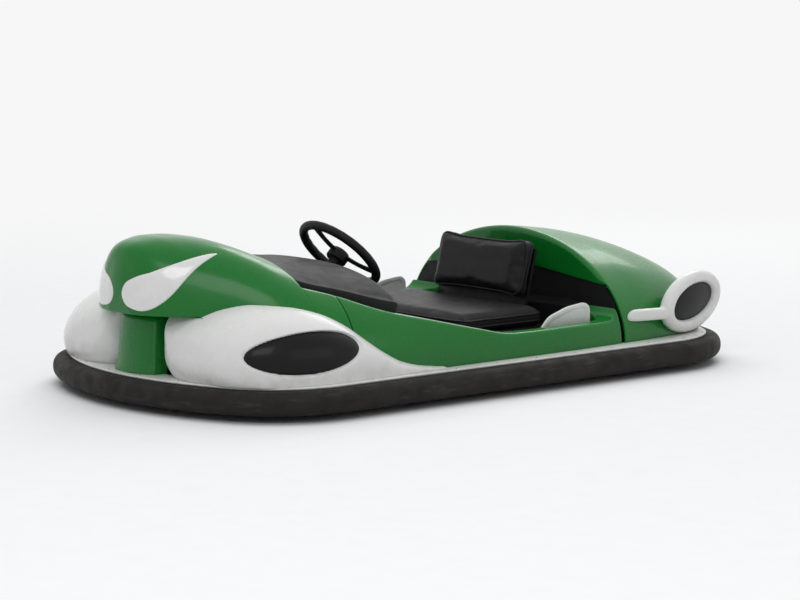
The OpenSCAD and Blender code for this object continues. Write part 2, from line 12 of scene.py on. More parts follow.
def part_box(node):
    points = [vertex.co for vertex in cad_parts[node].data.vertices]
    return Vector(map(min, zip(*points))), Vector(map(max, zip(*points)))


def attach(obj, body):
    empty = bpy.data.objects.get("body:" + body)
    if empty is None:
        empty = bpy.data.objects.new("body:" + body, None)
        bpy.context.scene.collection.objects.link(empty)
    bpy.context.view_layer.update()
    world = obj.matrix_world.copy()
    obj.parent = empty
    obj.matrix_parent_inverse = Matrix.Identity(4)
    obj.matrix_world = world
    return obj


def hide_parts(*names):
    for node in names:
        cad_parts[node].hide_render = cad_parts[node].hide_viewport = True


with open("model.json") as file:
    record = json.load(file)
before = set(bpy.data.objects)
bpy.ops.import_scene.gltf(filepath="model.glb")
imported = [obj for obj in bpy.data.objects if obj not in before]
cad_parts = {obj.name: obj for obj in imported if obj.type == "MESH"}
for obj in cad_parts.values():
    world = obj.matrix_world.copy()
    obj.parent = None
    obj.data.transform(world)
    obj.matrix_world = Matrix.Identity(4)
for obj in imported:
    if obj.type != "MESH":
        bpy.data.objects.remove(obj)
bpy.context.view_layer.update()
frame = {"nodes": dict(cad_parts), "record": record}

bl_info = {
    "name": "Bumper Car Dressing",
    "version": (1, 0, 0),
    "blender": (4, 5, 0),
    "location": "View3D > Sidebar > Bumper Car",
    "description": "Dresses the packed bumper car with its mouldings, pads, finishes, lights and camera",
    "category": "Object",
}

# Each side's name and the sign of its y
SIDES = (("left", 1), ("right", -1))

# Heights and stations that the mouldings share, in metres
SILL = 0.0886
FLANGE_LOW, FLANGE_TOP = 0.0823, 0.0883
PROW_X, PROW_Z = 0.848, 0.250
HOOD_REAR, HOOD_SPLIT = 0.606, 0.520
TAIL_SPLIT, TAIL_FACE = -0.445, -0.450
PANEL_GAP = 0.003
KEEL_HALF = 0.090

# Body sections: along the car, half width, height, squareness
BODY_TABLE = (
    (0.954, 0.062, 0.386, 2.6), (0.946, 0.102, 0.418, 2.6), (0.924, 0.150, 0.435, 2.6),
    (0.890, 0.194, 0.443, 2.6), (0.848, 0.236, 0.448, 2.6), (0.800, 0.284, 0.447, 2.6),
    (0.740, 0.344, 0.441, 2.6), (0.680, 0.396, 0.424, 2.6), (0.620, 0.432, 0.400, 2.6),
    (0.560, 0.458, 0.378, 2.6), (0.460, 0.480, 0.364, 2.6), (0.320, 0.488, 0.352, 2.6),
    (0.000, 0.488, 0.350, 2.6), (-0.260, 0.484, 0.376, 2.4), (-0.430, 0.476, 0.388, 2.0),
    (-0.560, 0.466, 0.376, 1.9), (-0.700, 0.446, 0.348, 1.9), (-0.800, 0.416, 0.314, 2.0),
    (-0.868, 0.370, 0.280, 2.2), (-0.896, 0.318, 0.255, 2.4), (-0.906, 0.268, 0.232, 2.4),
)
# Front fairing sections, in the same columns
POD_TABLE = (
    (0.908, 0.296, 0.186, 3.2), (0.900, 0.344, 0.210, 3.2), (0.880, 0.390, 0.234, 3.2),
    (0.848, 0.430, 0.258, 3.2), (0.800, 0.466, 0.284, 3.2), (0.740, 0.492, 0.301, 3.2),
    (0.670, 0.508, 0.304, 3.2), (0.600, 0.514, 0.294, 3.2), (0.540, 0.514, 0.270, 3.2),
    (0.490, 0.514, 0.232, 3.2), (0.440, 0.514, 0.188, 3.2), (0.390, 0.513, 0.148, 3.2),
    (0.330, 0.511, 0.120, 3.2), (0.240, 0.506, 0.0976, 3.2),
)
# Height of the cockpit's rim along the car
RIM_TABLE = (
    (0.606, 0.322), (0.520, 0.297), (0.400, 0.253), (0.260, 0.219), (0.094, 0.180), (0.000, 0.160),
    (-0.090, 0.156), (-0.250, 0.156), (-0.390, 0.156), (-0.428, 0.164), (-0.445, 0.190), (-0.450, 0.236),
)
# Half outline of the cockpit opening, seen from above
MOUTH_TABLE = (
    (0.606, 0.312), (0.570, 0.326), (0.520, 0.346), (0.390, 0.402), (0.260, 0.428), (0.060, 0.434),
    (-0.200, 0.434), (-0.350, 0.428), (-0.414, 0.396), (-0.438, 0.320),
)
# Lower edge of the face that turns down behind the seat
LIP_TABLE = ((-0.575, 0.228), (-0.300, 0.258), (0.000, 0.284), (0.300, 0.258), (0.575, 0.228))
# Outline of the teardrop on the nose, seen from the front
LAMP_EDGE = (
    (0.020, 0.302), (0.036, 0.334), (0.074, 0.353), (0.110, 0.366), (0.145, 0.387), (0.180, 0.410),
    (0.186, 0.388), (0.168, 0.318), (0.136, 0.278), (0.092, 0.262), (0.040, 0.272),
)
NOSE_END, TAIL_END, POD_END = BODY_TABLE[0][0], BODY_TABLE[-1][0], POD_TABLE[0][0]

# The bumper's plan
HALF_L, HALF_W = 1.000, 0.575
BOW_R, CORNER_R = 0.900, 0.320
BUMPER_LOW, BUMPER_HIGH, BUMPER_T = 0.018, 0.082, 0.058

# Settings


class BodySettings(bpy.types.PropertyGroup):
    """Colours and gloss of the mouldings"""

    green: FloatVectorProperty(name="Body green", description="Colour of the nose, side and tail mouldings",
                               subtype="COLOR", size=3, min=0, max=1, default=(0.003, 0.165, 0.018))
    white: FloatVectorProperty(name="Fairing white", description="Colour of the fairings, rings and flange",
                               subtype="COLOR", size=3, min=0, max=1, default=(0.78, 0.78, 0.76))
    black: FloatVectorProperty(name="Interior black", description="Colour of the cockpit's moulded walls",
                               subtype="COLOR", size=3, min=0, max=1, default=(0.010, 0.010, 0.011))
    wall: FloatProperty(name="Wall", description="Thickness of the visible mouldings",
                        subtype="DISTANCE", unit="LENGTH", default=0.005, min=0.003, max=0.008)


class CushionSettings(bpy.types.PropertyGroup):
    """Sizes of the padding"""

    pressure: FloatProperty(name="Pressure", description="Air pressure that crowns the pads", default=4.0,
                            min=1.0, max=8.0)
    swell: FloatProperty(name="Swell", description="Furthest that the cover moves when it is filled",
                         subtype="DISTANCE", unit="LENGTH", default=0.010, min=0.004, max=0.016)
    welt: FloatProperty(name="Welt", description="Radius of the piping round the pads",
                        subtype="DISTANCE", unit="LENGTH", default=0.0032, min=0.002, max=0.005)


class StageSettings(bpy.types.PropertyGroup):
    """Camera and lights"""

    camera_at: FloatVectorProperty(name="Camera place", description="Where the camera stands",
                                   subtype="TRANSLATION", unit="LENGTH", size=3,
                                   default=(4.956, 5.936, 1.219))
    aim_at: FloatVectorProperty(name="Camera target", description="Point that the camera looks at",
                                subtype="TRANSLATION", unit="LENGTH", size=3, default=(0.0, 0.02, 0.205))
    lens: FloatProperty(name="Lens", description="Focal length for a 36 mm wide frame, in millimetres",
                        default=122.0, min=50.0, max=200.0)


# Curves and sections


def monotone(s, v, at):
    """A smooth curve through v(s) that never overshoots, read at the places in at."""
    s, v, at = (np.asarray(q, float) for q in (s, v, at))
    h = np.diff(s)
    d = np.diff(v) / h
    m = np.empty(len(s))
    m[0], m[-1] = d[0], d[-1]
    for i in range(1, len(s) - 1):
        if d[i - 1] * d[i] <= 0:
            m[i] = 0
        else:
            a, b = 2 * h[i] + h[i - 1], h[i] + 2 * h[i - 1]
            m[i] = (a + b) / (a / d[i - 1] + b / d[i])
    k = np.clip(np.searchsorted(s, at) - 1, 0, len(h) - 1)
    t = (at - s[k]) / h[k]
    return ((2 * t**3 - 3 * t**2 + 1) * v[k] + (t**3 - 2 * t**2 + t) * h[k] * m[k]
            + (3 * t**2 - 2 * t**3) * v[k + 1] + (t**3 - t**2) * h[k] * m[k + 1])


def through(points, per_span, closed=False):
    """A smooth curve through points, with per_span steps between neighbours."""
    p = np.asarray(points, float)
    n = len(p)
    out = []
    for i in range(n if closed else n - 1):
        a, b, c, d = (p[(i + j) % n] if closed else p[min(max(i + j, 0), n - 1)] for j in (-1, 0, 1, 2))
        for t in np.arange(per_span) / per_span:
            out.append(0.5 * (2 * b + (c - a) * t + (2 * a - 5 * b + 4 * c - d) * t**2
                              + (3 * b - a - 3 * c + d) * t**3))
    if not closed:
        out.append(p[-1])
    return np.array(out)


def reader(table, per_span, sign):
    """A function that reads a smooth curve through the table.

    Its first column rises or, with sign -1, falls."""
    points = through(table, per_span)
    return lambda at: float(np.interp(sign * at, sign * points[:, 0], points[:, 1]))


def lengths(p):
    """Each point's distance from the start of a polyline, along it."""
    return np.concatenate([[0], np.cumsum(np.linalg.norm(np.diff(p, axis=0), axis=1))])


def spread(p, count, start=0.0, end=None):
    """count points evenly along a polyline, between two distances from its start."""
    p = np.asarray(p, float)
    s = lengths(p)
    at = np.linspace(start, s[-1] if end is None else end, count)
    return np.stack([np.interp(at, s, p[:, i]) for i in range(p.shape[1])], 1)


def corner(a, b, c, steps):
    """A rounded corner from a to c that bends round b."""
    t = np.linspace(0, 1, steps)[:, None]
    return (1 - t) ** 2 * a + 2 * t * (1 - t) * b + t**2 * c


def circle(count):
    """count angles evenly round a full turn, in radians."""
    return np.linspace(0, 2 * math.pi, count + 1)[:-1]


def ease(t):
    """A smooth step from 0 to 1 for t from 0 to 1."""
    return t * t * (3 - 2 * t)


def signed(value, power):
    """A power of the value's size that keeps its sign."""
    return math.copysign(abs(value) ** power, value)


def parted(half, z):
    """A half section cut at the height z: the part below it and the part above it."""
    k = int(np.argmax(half[:, 1] >= z))
    t = (z - half[k - 1, 1]) / (half[k, 1] - half[k - 1, 1])
    cut = half[k - 1] + t * (half[k] - half[k - 1])
    return np.vstack([half[:k], cut]), np.vstack([cut, half[k:]])


class Form:
    """A body whose sections are superellipses standing on the sill."""

    def __init__(self, table):
        rows = np.array(table)
        s = lengths(rows[:, :2])
        at = np.linspace(0, s[-1], 1600)
        self.x, self.w, self.top, self.n = (monotone(s, rows[:, i], at) for i in range(4))

    def at(self, x):
        """Half width, height and squareness at a station."""
        return tuple(np.interp(-np.asarray(x), -self.x, v) for v in (self.w, self.top, self.n))

    def half(self, x, steps=160):
        """Half a section, from its foot to its crown, as (y, z)."""
        w, top, n = self.at(x)
        a = np.linspace(0, math.pi / 2, steps)
        y = w * np.cos(a) ** (2 / n)
        y[-1] = 0
        return np.stack([y, SILL + (top - SILL) * np.sin(a) ** (2 / n)], 1)

    def height(self, x, y, grow=0.0):
        """The skin's height at (x, y), with the section grown all round."""
        w, top, n = self.at(x)
        q = np.clip(np.abs(y) / (w + grow), 0, 1)
        return SILL + (top + grow - SILL) * (1 - q**n) ** (1 / n)

    def reach(self, x, z):
        """The skin's half width at (x, z)."""
        w, top, n = self.at(x)
        q = np.clip((np.asarray(z) - SILL) / (top - SILL), 0, 1)
        return w * (1 - q**n) ** (1 / n)


BODY, POD = Form(BODY_TABLE), Form(POD_TABLE)
rim_height = reader(RIM_TABLE, 12, -1)
mouth_half = reader(MOUTH_TABLE, 12, -1)
lip_height = reader(LIP_TABLE, 8, 1)


def bumper_plan(inset):
    """The bumper's outline, inset from its outer face, as one closed list of points."""
    bow_x, corner_y = HALF_L - BOW_R, HALF_W - CORNER_R
    corner_x = bow_x + math.sqrt((BOW_R - CORNER_R) ** 2 - corner_y**2)
    turn = math.atan2(corner_y, corner_x - bow_x)
    quarter = [(bow_x + (BOW_R - inset) * math.cos(a), (BOW_R - inset) * math.sin(a))
               for a in np.linspace(0, turn, 24)]
    quarter += [(corner_x + (CORNER_R - inset) * math.cos(a), corner_y + (CORNER_R - inset) * math.sin(a))
                for a in np.linspace(turn, math.pi / 2, 34)[1:]]
    quarter += [(x, HALF_W - inset) for x in np.linspace(corner_x, 0, 40)[1:]]
    half = quarter + [(-x, y) for x, y in reversed(quarter[:-1])]
    return half[:-1] + [(-x, -y) for x, y in half[:-1]]


def at_x(x, row):
    """A section's (y, z) points at one station."""
    return [(x, y, z) for y, z in row]


def whole(half):
    """A section from one foot over the crown to the other, from its half."""
    return np.vstack([half, half[-2::-1] * (-1, 1)])


def closing(row, middle, x, bulge, power, steps):
    """Rows that close an end: they shrink towards the middle, a (y, z), while they bulge along the car."""
    middle = np.array(middle)
    return [[(x + bulge * (1 - k**power), *(middle + (np.array(p[1:]) - middle) * k)) for p in row]
            for k in np.linspace(1, 0.02, steps)[1:]]


def placed(rows, place):
    """The rows moved by a matrix."""
    return [[tuple(place @ Vector(p)) for p in row] for row in rows]


def sided(rows, sy):
    """The rows as they are on the left side, or mirrored to the right with sy -1."""
    return [[(x, sy * y, z) for x, y, z in row] for row in rows]


def plan_rows(profile):
    """Rows round the bumper's plan, from (inset, height) points."""
    return [[(x, y, z) for x, y in bumper_plan(inset)] for inset, z in profile]


# Meshes


def mesh_object(name, points, faces):
    """A new object in the scene."""
    mesh = bpy.data.meshes.new(name)
    mesh.from_pydata([tuple(map(float, p)) for p in points], [], faces)
    obj = bpy.data.objects.new(name, mesh)
    bpy.context.scene.collection.objects.link(obj)
    return obj


class Builder:
    """Collects grids and fans into one mesh."""

    def __init__(self):
        self.points, self.faces = [], []

    def grid(self, rows, wrap_rows=False, wrap_cols=False):
        """Quads between neighbouring points of neighbouring rows."""
        start, n, cols = len(self.points), len(rows), len(rows[0])
        for row in rows:
            self.points.extend(row)
        for i in range(n if wrap_rows else n - 1):
            a, b = start + i * cols, start + ((i + 1) % n) * cols
            for j in range(cols if wrap_cols else cols - 1):
                k = (j + 1) % cols
                self.faces.append((a + j, a + k, b + k, b + j))

    def fan(self, ring, centre=None):
        """Closes a ring of points with triangles to a centre, by default its mean."""
        start, n = len(self.points), len(ring)
        self.points.extend(ring)
        self.points.append(np.mean(ring, axis=0) if centre is None else centre)
        self.faces += [(start + i, start + (i + 1) % n, start + n) for i in range(n)]

    def tube(self, rows):
        """Rings joined to a tube, both ends closed."""
        self.grid(rows, wrap_cols=True)
        self.fan(rows[0])
        self.fan(rows[-1])

    def make(self, name, weld=0.00004, close=False):
        """One welded object, with its open edges filled if close says so."""
        obj = mesh_object(name, self.points, self.faces)
        bm = bmesh.new()
        bm.from_mesh(obj.data)
        bmesh.ops.remove_doubles(bm, verts=bm.verts, dist=weld)
        bmesh.ops.dissolve_degenerate(bm, edges=bm.edges, dist=weld / 2)
        if close:
            bmesh.ops.holes_fill(bm, edges=[e for e in bm.edges if e.is_boundary], sides=0)
        bmesh.ops.recalc_face_normals(bm, faces=bm.faces)
        bm.to_mesh(obj.data)
        bm.free()
        return obj


def face_out(obj, inside):
    """Turns an open skin's faces away from a point, given for each face's centre."""
    mesh = obj.data
    if sum(p.area * p.normal.dot(p.center - Vector(inside(p.center))) for p in mesh.polygons) < 0:
        mesh.flip_normals()


def apply_all(obj):
    """Replaces the mesh by what its modifiers make of it."""
    graph = bpy.context.evaluated_depsgraph_get()
    mesh = bpy.data.meshes.new_from_object(obj.evaluated_get(graph))
    old = obj.data
    obj.modifiers.clear()
    obj.data = mesh
    bpy.data.meshes.remove(old)
    return obj


def modified(obj, kind, **values):
    """Replaces the mesh by what one modifier makes of it."""
    modifier = obj.modifiers.new(kind.lower(), kind)
    for key, value in values.items():
        setattr(modifier, key, value)
    return apply_all(obj)


def soften(obj, width, angle, segments=2):
    """Rounds the edges that are sharper than the angle, in degrees."""
    return modified(obj, "BEVEL", width=width, segments=segments, limit_method="ANGLE",
                    angle_limit=math.radians(angle), use_clamp_overlap=True)


def thicken(obj, wall, round_edge=0.0009):
    """Gives an open skin its wall, inward, and breaks the wall's edges."""
    modified(obj, "SOLIDIFY", thickness=wall, offset=-1, use_even_offset=True)
    return soften(obj, round_edge, 60) if round_edge else obj


def join(name, objs):
    """One object from several."""
    points, faces = [], []
    for o in objs:
        start = len(points)
        points += [tuple(o.matrix_world @ v.co) for v in o.data.vertices]
        faces += [tuple(start + i for i in p.vertices) for p in o.data.polygons]
        bpy.data.objects.remove(o)
    return mesh_object(name, points, faces)


def dress(obj, slot, replaced=None, body="chassis", finish=None, angle=38):
    """Shading, finish, body and replaced CAD node of a finished piece."""
    obj.data.shade_smooth()
    obj.data.set_sharp_from_angle(angle=math.radians(angle))
    obj.data.materials.clear()
    obj.data.materials.append(FINISHES[finish or slot])
    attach(obj, body)
    if replaced:
        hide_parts(replaced)


# Finishes


class Graph:
    """Adds nodes to a node tree, with their inputs linked or set."""

    def __init__(self, tree):
        self.tree = tree

    def link(self, source, socket):
        """Links a socket to an input, or sets the input to a value."""
        if isinstance(source, bpy.types.NodeSocket):
            self.tree.links.new(source, socket)
        else:
            socket.default_value = source

    def node(self, kind, inputs=None, **attributes):
        """A new node, with a socket or value for each input that is named or numbered."""
        n = self.tree.nodes.new(kind)
        for key, value in attributes.items():
            setattr(n, key, value)
        for key, source in (inputs or {}).items():
            self.link(source, n.inputs[key])
        return n

    def maths(self, operation, a, b):
        return self.node("ShaderNodeMath", {0: a, 1: b}, operation=operation).outputs[0]


class Finish(Graph):
    """A principled material whose colour, roughness and relief come from layered noise."""

    def __init__(self, name, colour, rough, metallic=0.0, coat=0.0, coat_rough=0.08, specular=0.5):
        self.mat = bpy.data.materials.new(name)
        self.mat.use_nodes = True
        self.mat.diffuse_color = (*colour, 1)
        super().__init__(self.mat.node_tree)
        self.shader = self.tree.nodes["Principled BSDF"]
        for key, value in (("Metallic", metallic), ("Coat Weight", coat), ("Coat Roughness", coat_rough),
                           ("Specular IOR Level", specular), ("Roughness", rough),
                           ("Base Color", (*colour, 1))):
            self.shader.inputs[key].default_value = value
        self.place = self.node("ShaderNodeTexCoord").outputs["Object"]
        self.colour, self.rough, self.relief = (*colour, 1), rough, None

    def stretched(self, scale):
        """The place on the object, scaled along each axis if a scale is given."""
        if scale is None:
            return self.place
        return self.node("ShaderNodeMapping", {"Vector": self.place, "Scale": scale}).outputs["Vector"]

    def noise(self, scale, detail=3.0, rough=0.5, stretch=None):
        return self.node("ShaderNodeTexNoise", {"Vector": self.stretched(stretch), "Scale": scale,
                                                "Detail": detail, "Roughness": rough}).outputs["Fac"]

    def cells(self, scale, feature="F1", stretch=None):
        return self.node("ShaderNodeTexVoronoi", {"Vector": self.stretched(stretch), "Scale": scale},
                         feature=feature).outputs["Distance"]

    def band(self, value, low, high, to_low=0.0, to_high=1.0):
        """The value between low and high, mapped to the range from to_low to to_high."""
        return self.node("ShaderNodeMapRange", {"Value": value, "From Min": low, "From Max": high,
                                                "To Min": to_low, "To Max": to_high}).outputs["Result"]

    def times(self, a, b):
        return self.maths("MULTIPLY", a, b)

    def tint(self, colour, factor):
        """Lays a second colour over what is there, where factor says."""
        self.colour = self.node("ShaderNodeMix", {0: factor, 6: self.colour, 7: (*colour, 1)},
                                data_type="RGBA").outputs[2]

    def roughen(self, amount, factor):
        """Brings the roughness to the amount, where factor says."""
        mix = self.node("ShaderNodeMix", {0: factor, 2: self.rough, 3: amount}, data_type="FLOAT")
        self.rough = mix.outputs[0]

    def bump(self, height, strength, distance):
        """Adds a relief to those before it."""
        n = self.node("ShaderNodeBump", {"Height": height, "Strength": strength, "Distance": distance})
        if self.relief is not None:
            self.link(self.relief, n.inputs["Normal"])
        self.relief = n.outputs["Normal"]

    def done(self):
        """The material, with its layers linked to the shader."""
        self.link(self.colour, self.shader.inputs["Base Color"])
        self.link(self.rough, self.shader.inputs["Roughness"])
        if self.relief is not None:
            self.link(self.relief, self.shader.inputs["Normal"])
        return self.mat


def shift(colour, factor):
    """A lighter or darker colour."""
    return tuple(min(1.0, c * factor) for c in colour)


def gelcoat(name, colour, rough, dirt, coat=0.15, specular=0.25):
    """Moulded and polished resin: faint orange peel, hairline scratches, scuffs and dust low down."""
    f = Finish(name, colour, rough, coat=coat, coat_rough=0.06, specular=specular)
    f.tint(shift(colour, 0.94), f.band(f.noise(2.2, 4), 0.42, 0.62))
    f.tint(shift(colour, 1.05), f.band(f.noise(9.0, 3), 0.52, 0.75, 0.0, 0.55))
    f.roughen(rough + 0.12, f.band(f.noise(14.0, 5, 0.62), 0.48, 0.72))
    scratch = f.times(f.band(f.cells(26.0, "DISTANCE_TO_EDGE", (1.0, 5.0, 9.0)), 0.012, 0.0),
                      f.band(f.noise(5.0, 2), 0.50, 0.60))
    f.tint(shift(colour, 1.35), f.times(scratch, 0.16))
    f.roughen(rough + 0.3, f.times(scratch, 0.6))
    height = f.node("ShaderNodeSeparateXYZ", {0: f.place}).outputs[2]
    grime = f.times(f.band(height, 0.16, 0.085), f.band(f.noise(32.0, 6, 0.7), 0.40, 0.70))
    f.tint(dirt, f.times(grime, 0.3))
    f.roughen(0.62, f.times(grime, 0.7))
    f.bump(f.noise(160.0, 2), 0.05, 0.0006)
    f.bump(f.times(scratch, -1.0), 0.12, 0.0003)
    return f.done()


def grained(name, colour, rough, scale, strength, dust):
    """Black moulded plastic or vinyl with a leather grain."""
    f = Finish(name, colour, rough, specular=0.18)
    f.tint(shift(colour, 1.15), f.band(f.noise(7.0, 3), 0.40, 0.75))
    grain = f.cells(scale, "DISTANCE_TO_EDGE")
    f.tint(shift(colour, 0.6), f.band(grain, 0.12, 0.0, 0.0, 0.7))
    f.tint(dust, f.band(f.noise(18.0, 6, 0.7), 0.58, 0.80, 0.0, 0.04))
    f.roughen(rough + 0.10, f.band(f.noise(30.0, 4), 0.36, 0.70))
    f.bump(f.band(grain, 0.0, 0.18), strength, 0.0006)
    f.bump(f.noise(scale * 3.1, 2), 0.08, 0.0002)
    return f.done()


def rubber(name, colour, scuff):
    """Dull black rubber, scuffed along its length."""
    f = Finish(name, colour, 0.62, specular=0.22)
    f.tint(shift(colour, 1.4), f.band(f.noise(6.0, 4), 0.38, 0.75))
    f.tint(scuff, f.times(f.band(f.noise(11.0, 6, 0.65, (1.0, 1.0, 6.0)), 0.56, 0.72), 0.34))
    f.roughen(0.82, f.band(f.noise(24.0, 5), 0.40, 0.66))
    f.bump(f.noise(420.0, 3), 0.25, 0.0004)
    f.bump(f.cells(60.0), 0.05, 0.0006)
    return f.done()


def metal(name, colour, rough, rust):
    """Bare metal, brushed and stained."""
    f = Finish(name, colour, rough, metallic=1.0)
    f.tint(shift(colour, 0.72), f.band(f.noise(8.0, 5), 0.42, 0.66))
    brush = f.noise(60.0, 4, 0.6, (1.0, 14.0, 14.0))
    f.roughen(rough + 0.18, f.band(brush, 0.40, 0.64))
    stain = f.band(f.noise(13.0, 7, 0.68), 0.58, 0.72)
    f.tint(rust, f.times(stain, 0.45))
    f.roughen(0.74, f.times(stain, 0.8))
    f.bump(brush, 0.06, 0.0003)
    f.bump(f.noise(240.0, 3), 0.05, 0.0002)
    return f.done()


def enamel(name, colour, rough, chip):
    """Sprayed chassis or motor paint with small chips and a film of dirt."""
    f = Finish(name, colour, rough, specular=0.45)
    f.tint(shift(colour, 1.18), f.band(f.noise(5.0, 3), 0.30, 0.75))
    chipped = f.times(f.band(f.noise(90.0, 3), 0.66, 0.72), f.band(f.noise(6.0, 3), 0.50, 0.62))
    f.tint(chip, f.times(chipped, 0.5))
    f.tint((0.07, 0.062, 0.052), f.band(f.noise(12.0, 6, 0.6), 0.50, 0.80, 0.0, 0.25))
    f.roughen(rough + 0.20, f.band(f.noise(10.0, 4), 0.35, 0.75))
    f.bump(f.noise(200.0, 3), 0.10, 0.0004)
    return f.done()


def lens(name, colour):
    """Glossy white lamp panel."""
    f = Finish(name, colour, 0.16, coat=0.8, coat_rough=0.03)
    f.tint(shift(colour, 0.93), f.band(f.noise(12.0, 3), 0.45, 0.65))
    f.roughen(0.34, f.band(f.noise(50.0, 5), 0.54, 0.72))
    f.bump(f.noise(130.0, 2), 0.03, 0.0004)
    return f.done()


FINISHES = {}


def make_finishes():
    """Fills FINISHES, under the record's slots and a few names of its own."""
    body = bpy.context.scene.car_body
    green, white, black = (tuple(c) for c in (body.green, body.white, body.black))
    dust = (0.20, 0.18, 0.16)
    FINISHES.update({
        "green_shell": gelcoat("green gelcoat", green, 0.24, (0.10, 0.09, 0.075)),
        "white_shell": gelcoat("white gelcoat", white, 0.26, (0.30, 0.27, 0.24)),
        "lamp_white": lens("lamp panel white", shift(white, 1.04)),
        "black_trim": grained("grained black moulding", black, 0.44, 520.0, 0.30, dust),
        "black_gloss": gelcoat("black gelcoat", (0.004, 0.004, 0.005), 0.30,
                               (0.04, 0.036, 0.032), 0.10, 0.14),
        "seat_vinyl": grained("seat vinyl", (0.011, 0.011, 0.012), 0.42, 360.0, 0.42, dust),
        "welt_vinyl": grained("welt vinyl", (0.014, 0.014, 0.015), 0.38, 700.0, 0.15, dust),
        "chassis_paint": enamel("chassis enamel", (0.035, 0.036, 0.038), 0.48, (0.34, 0.33, 0.31)),
        "bare_steel": metal("worn steel", (0.36, 0.36, 0.36), 0.40, (0.17, 0.085, 0.045)),
        "motor_paint": enamel("motor enamel", (0.050, 0.055, 0.062), 0.36, (0.42, 0.41, 0.40)),
        "bumper_rubber": rubber("bumper rubber", (0.014, 0.012, 0.011), (0.09, 0.083, 0.077)),
        "mat_rubber": rubber("mat rubber", (0.018, 0.018, 0.018), (0.12, 0.11, 0.10)),
        "tyre_rubber": rubber("tyre rubber", (0.026, 0.025, 0.024), (0.20, 0.19, 0.17)),
        "shoe_brass": metal("contact brass", (0.60, 0.38, 0.16), 0.30, (0.10, 0.06, 0.035)),
        "screw_steel": metal("screw zinc", (0.62, 0.62, 0.60), 0.28, (0.20, 0.11, 0.06)),
    })


# Body mouldings

CORNER_OUT, CORNER_IN, LIP_DROP = 0.011, 0.006, 0.016
LEDGE_HALF = 0.300
# The closed nose starts here, just ahead of the open legs behind it
NOSE_REAR = HOOD_REAR + 0.0005
NOSE_BULGE, NOSE_POWER, NOSE_MIDDLE = 0.005, 2.5, 0.325
SPLIT_HALF = PANEL_GAP / 2


def ledge_row(x, foot, outer_count):
    """One section of a side moulding: wall, rounded rim, ledge and turned-down lip, as (y, z)."""
    rim, inner = rim_height(x), max(mouth_half(x), LEDGE_HALF)
    outer = parted(BODY.half(x), rim)[0]
    if foot > SILL:
        outer = parted(outer, foot)[1]
    wall = spread(outer, outer_count, 0, lengths(outer)[-1] - CORNER_OUT)
    top, mouth = outer[-1], np.array((inner, rim))
    ledge = top - (CORNER_OUT, 0), mouth + (CORNER_IN, 0)
    drop = mouth - (0, CORNER_IN), mouth - (0, LIP_DROP)
    return np.vstack([wall, corner(wall[-1], top, ledge[0], 8)[1:], spread(ledge, 6)[1:],
                      corner(ledge[1], mouth, drop[0], 6)[1:], spread(drop, 3)[1:]])


def axis_of_car(centre):
    return (centre.x, 0.0, 0.12)


def moulding(build, name, slot, replaced, wall, inside=axis_of_car):
    """A dressed moulding from the open skin in build, faced out and given its wall inward."""
    skin = build.make(name)
    face_out(skin, inside)
    thicken(skin, wall)
    dress(skin, slot, replaced)


def nose_row(x):
    """A closed section of the overhanging nose, from the middle of its underside round to the same place."""
    upper = parted(BODY.half(x), PROW_Z)[1]
    edge = 0.008
    crown = spread(upper, 56, edge)
    under_end = upper[0] - (edge, 0)
    half = np.vstack([spread([(0, PROW_Z), under_end], 9),
                      corner(under_end, upper[0], crown[0], 6)[1:-1], crown])
    return at_x(x, np.vstack([half, half[-2:0:-1] * (-1, 1)]))


def nose_solid():
    """The closed, overhanging nose."""
    blunt = 0.86
    stations = np.concatenate([np.linspace(NOSE_REAR, blunt, 40),
                               blunt + (NOSE_END - blunt) * np.sin(np.linspace(0, math.pi / 2, 22)[1:])])
    rows = [nose_row(x) for x in stations]
    rows += closing(rows[-1], (0.0, NOSE_MIDDLE), NOSE_END, NOSE_BULGE, NOSE_POWER, 9)
    build = Builder()
    build.grid(rows, wrap_cols=True)
    build.fan(rows[0], (NOSE_REAR, 0, 0.33))
    build.fan(rows[-1], (NOSE_END + NOSE_BULGE, 0, NOSE_MIDDLE))
    return soften(build.make("nose"), 0.003, 70, 3)


def hood_piece():
    """The nose with the skirts below it, the legs behind it and the upright front wall."""
    wall = bpy.context.scene.car_body.wall
    parts = [nose_solid()]
    legs = np.linspace(HOOD_SPLIT + SPLIT_HALF, NOSE_REAR, 12)
    under_nose = np.linspace(NOSE_REAR, PROW_X, 28)[1:]
    for sy in (1, -1):
        build = Builder()
        build.grid(sided([at_x(x, ledge_row(x, PROW_Z, 10)) for x in legs], sy))
        build.grid(sided([at_x(x, spread(parted(BODY.half(x), PROW_Z)[0], 22))
                          for x in np.concatenate([legs, under_nose])], sy))
        leg = build.make("leg")
        face_out(leg, axis_of_car)
        parts.append(thicken(leg, wall))
    build = Builder()
    heights = np.linspace(SILL, PROW_Z + 0.002, 10)
    build.grid([[(PROW_X, t * float(BODY.reach(PROW_X, z)), z) for z in heights]
                for t in np.linspace(-1, 1, 15)])
    front = build.make("front_wall")
    face_out(front, lambda c: (0, 0, c.z))
    parts.append(thicken(front, wall, 0))
    dress(join("nose_moulding", parts), "green_shell", "hood")


def side_piece(side, sy):
    """The side moulding that falls from the hood to the low sill."""
    sill_start = -0.384
    stations = np.concatenate([np.linspace(TAIL_SPLIT + SPLIT_HALF, sill_start, 16),
                               np.linspace(sill_start + 0.008, HOOD_SPLIT - SPLIT_HALF, 96)])
    build = Builder()
    build.grid(sided([at_x(x, ledge_row(x, SILL, 34)) for x in stations], sy))
    moulding(build, f"side_moulding_{side}", "green_shell", f"side_panel_{side}",
             bpy.context.scene.car_body.wall)


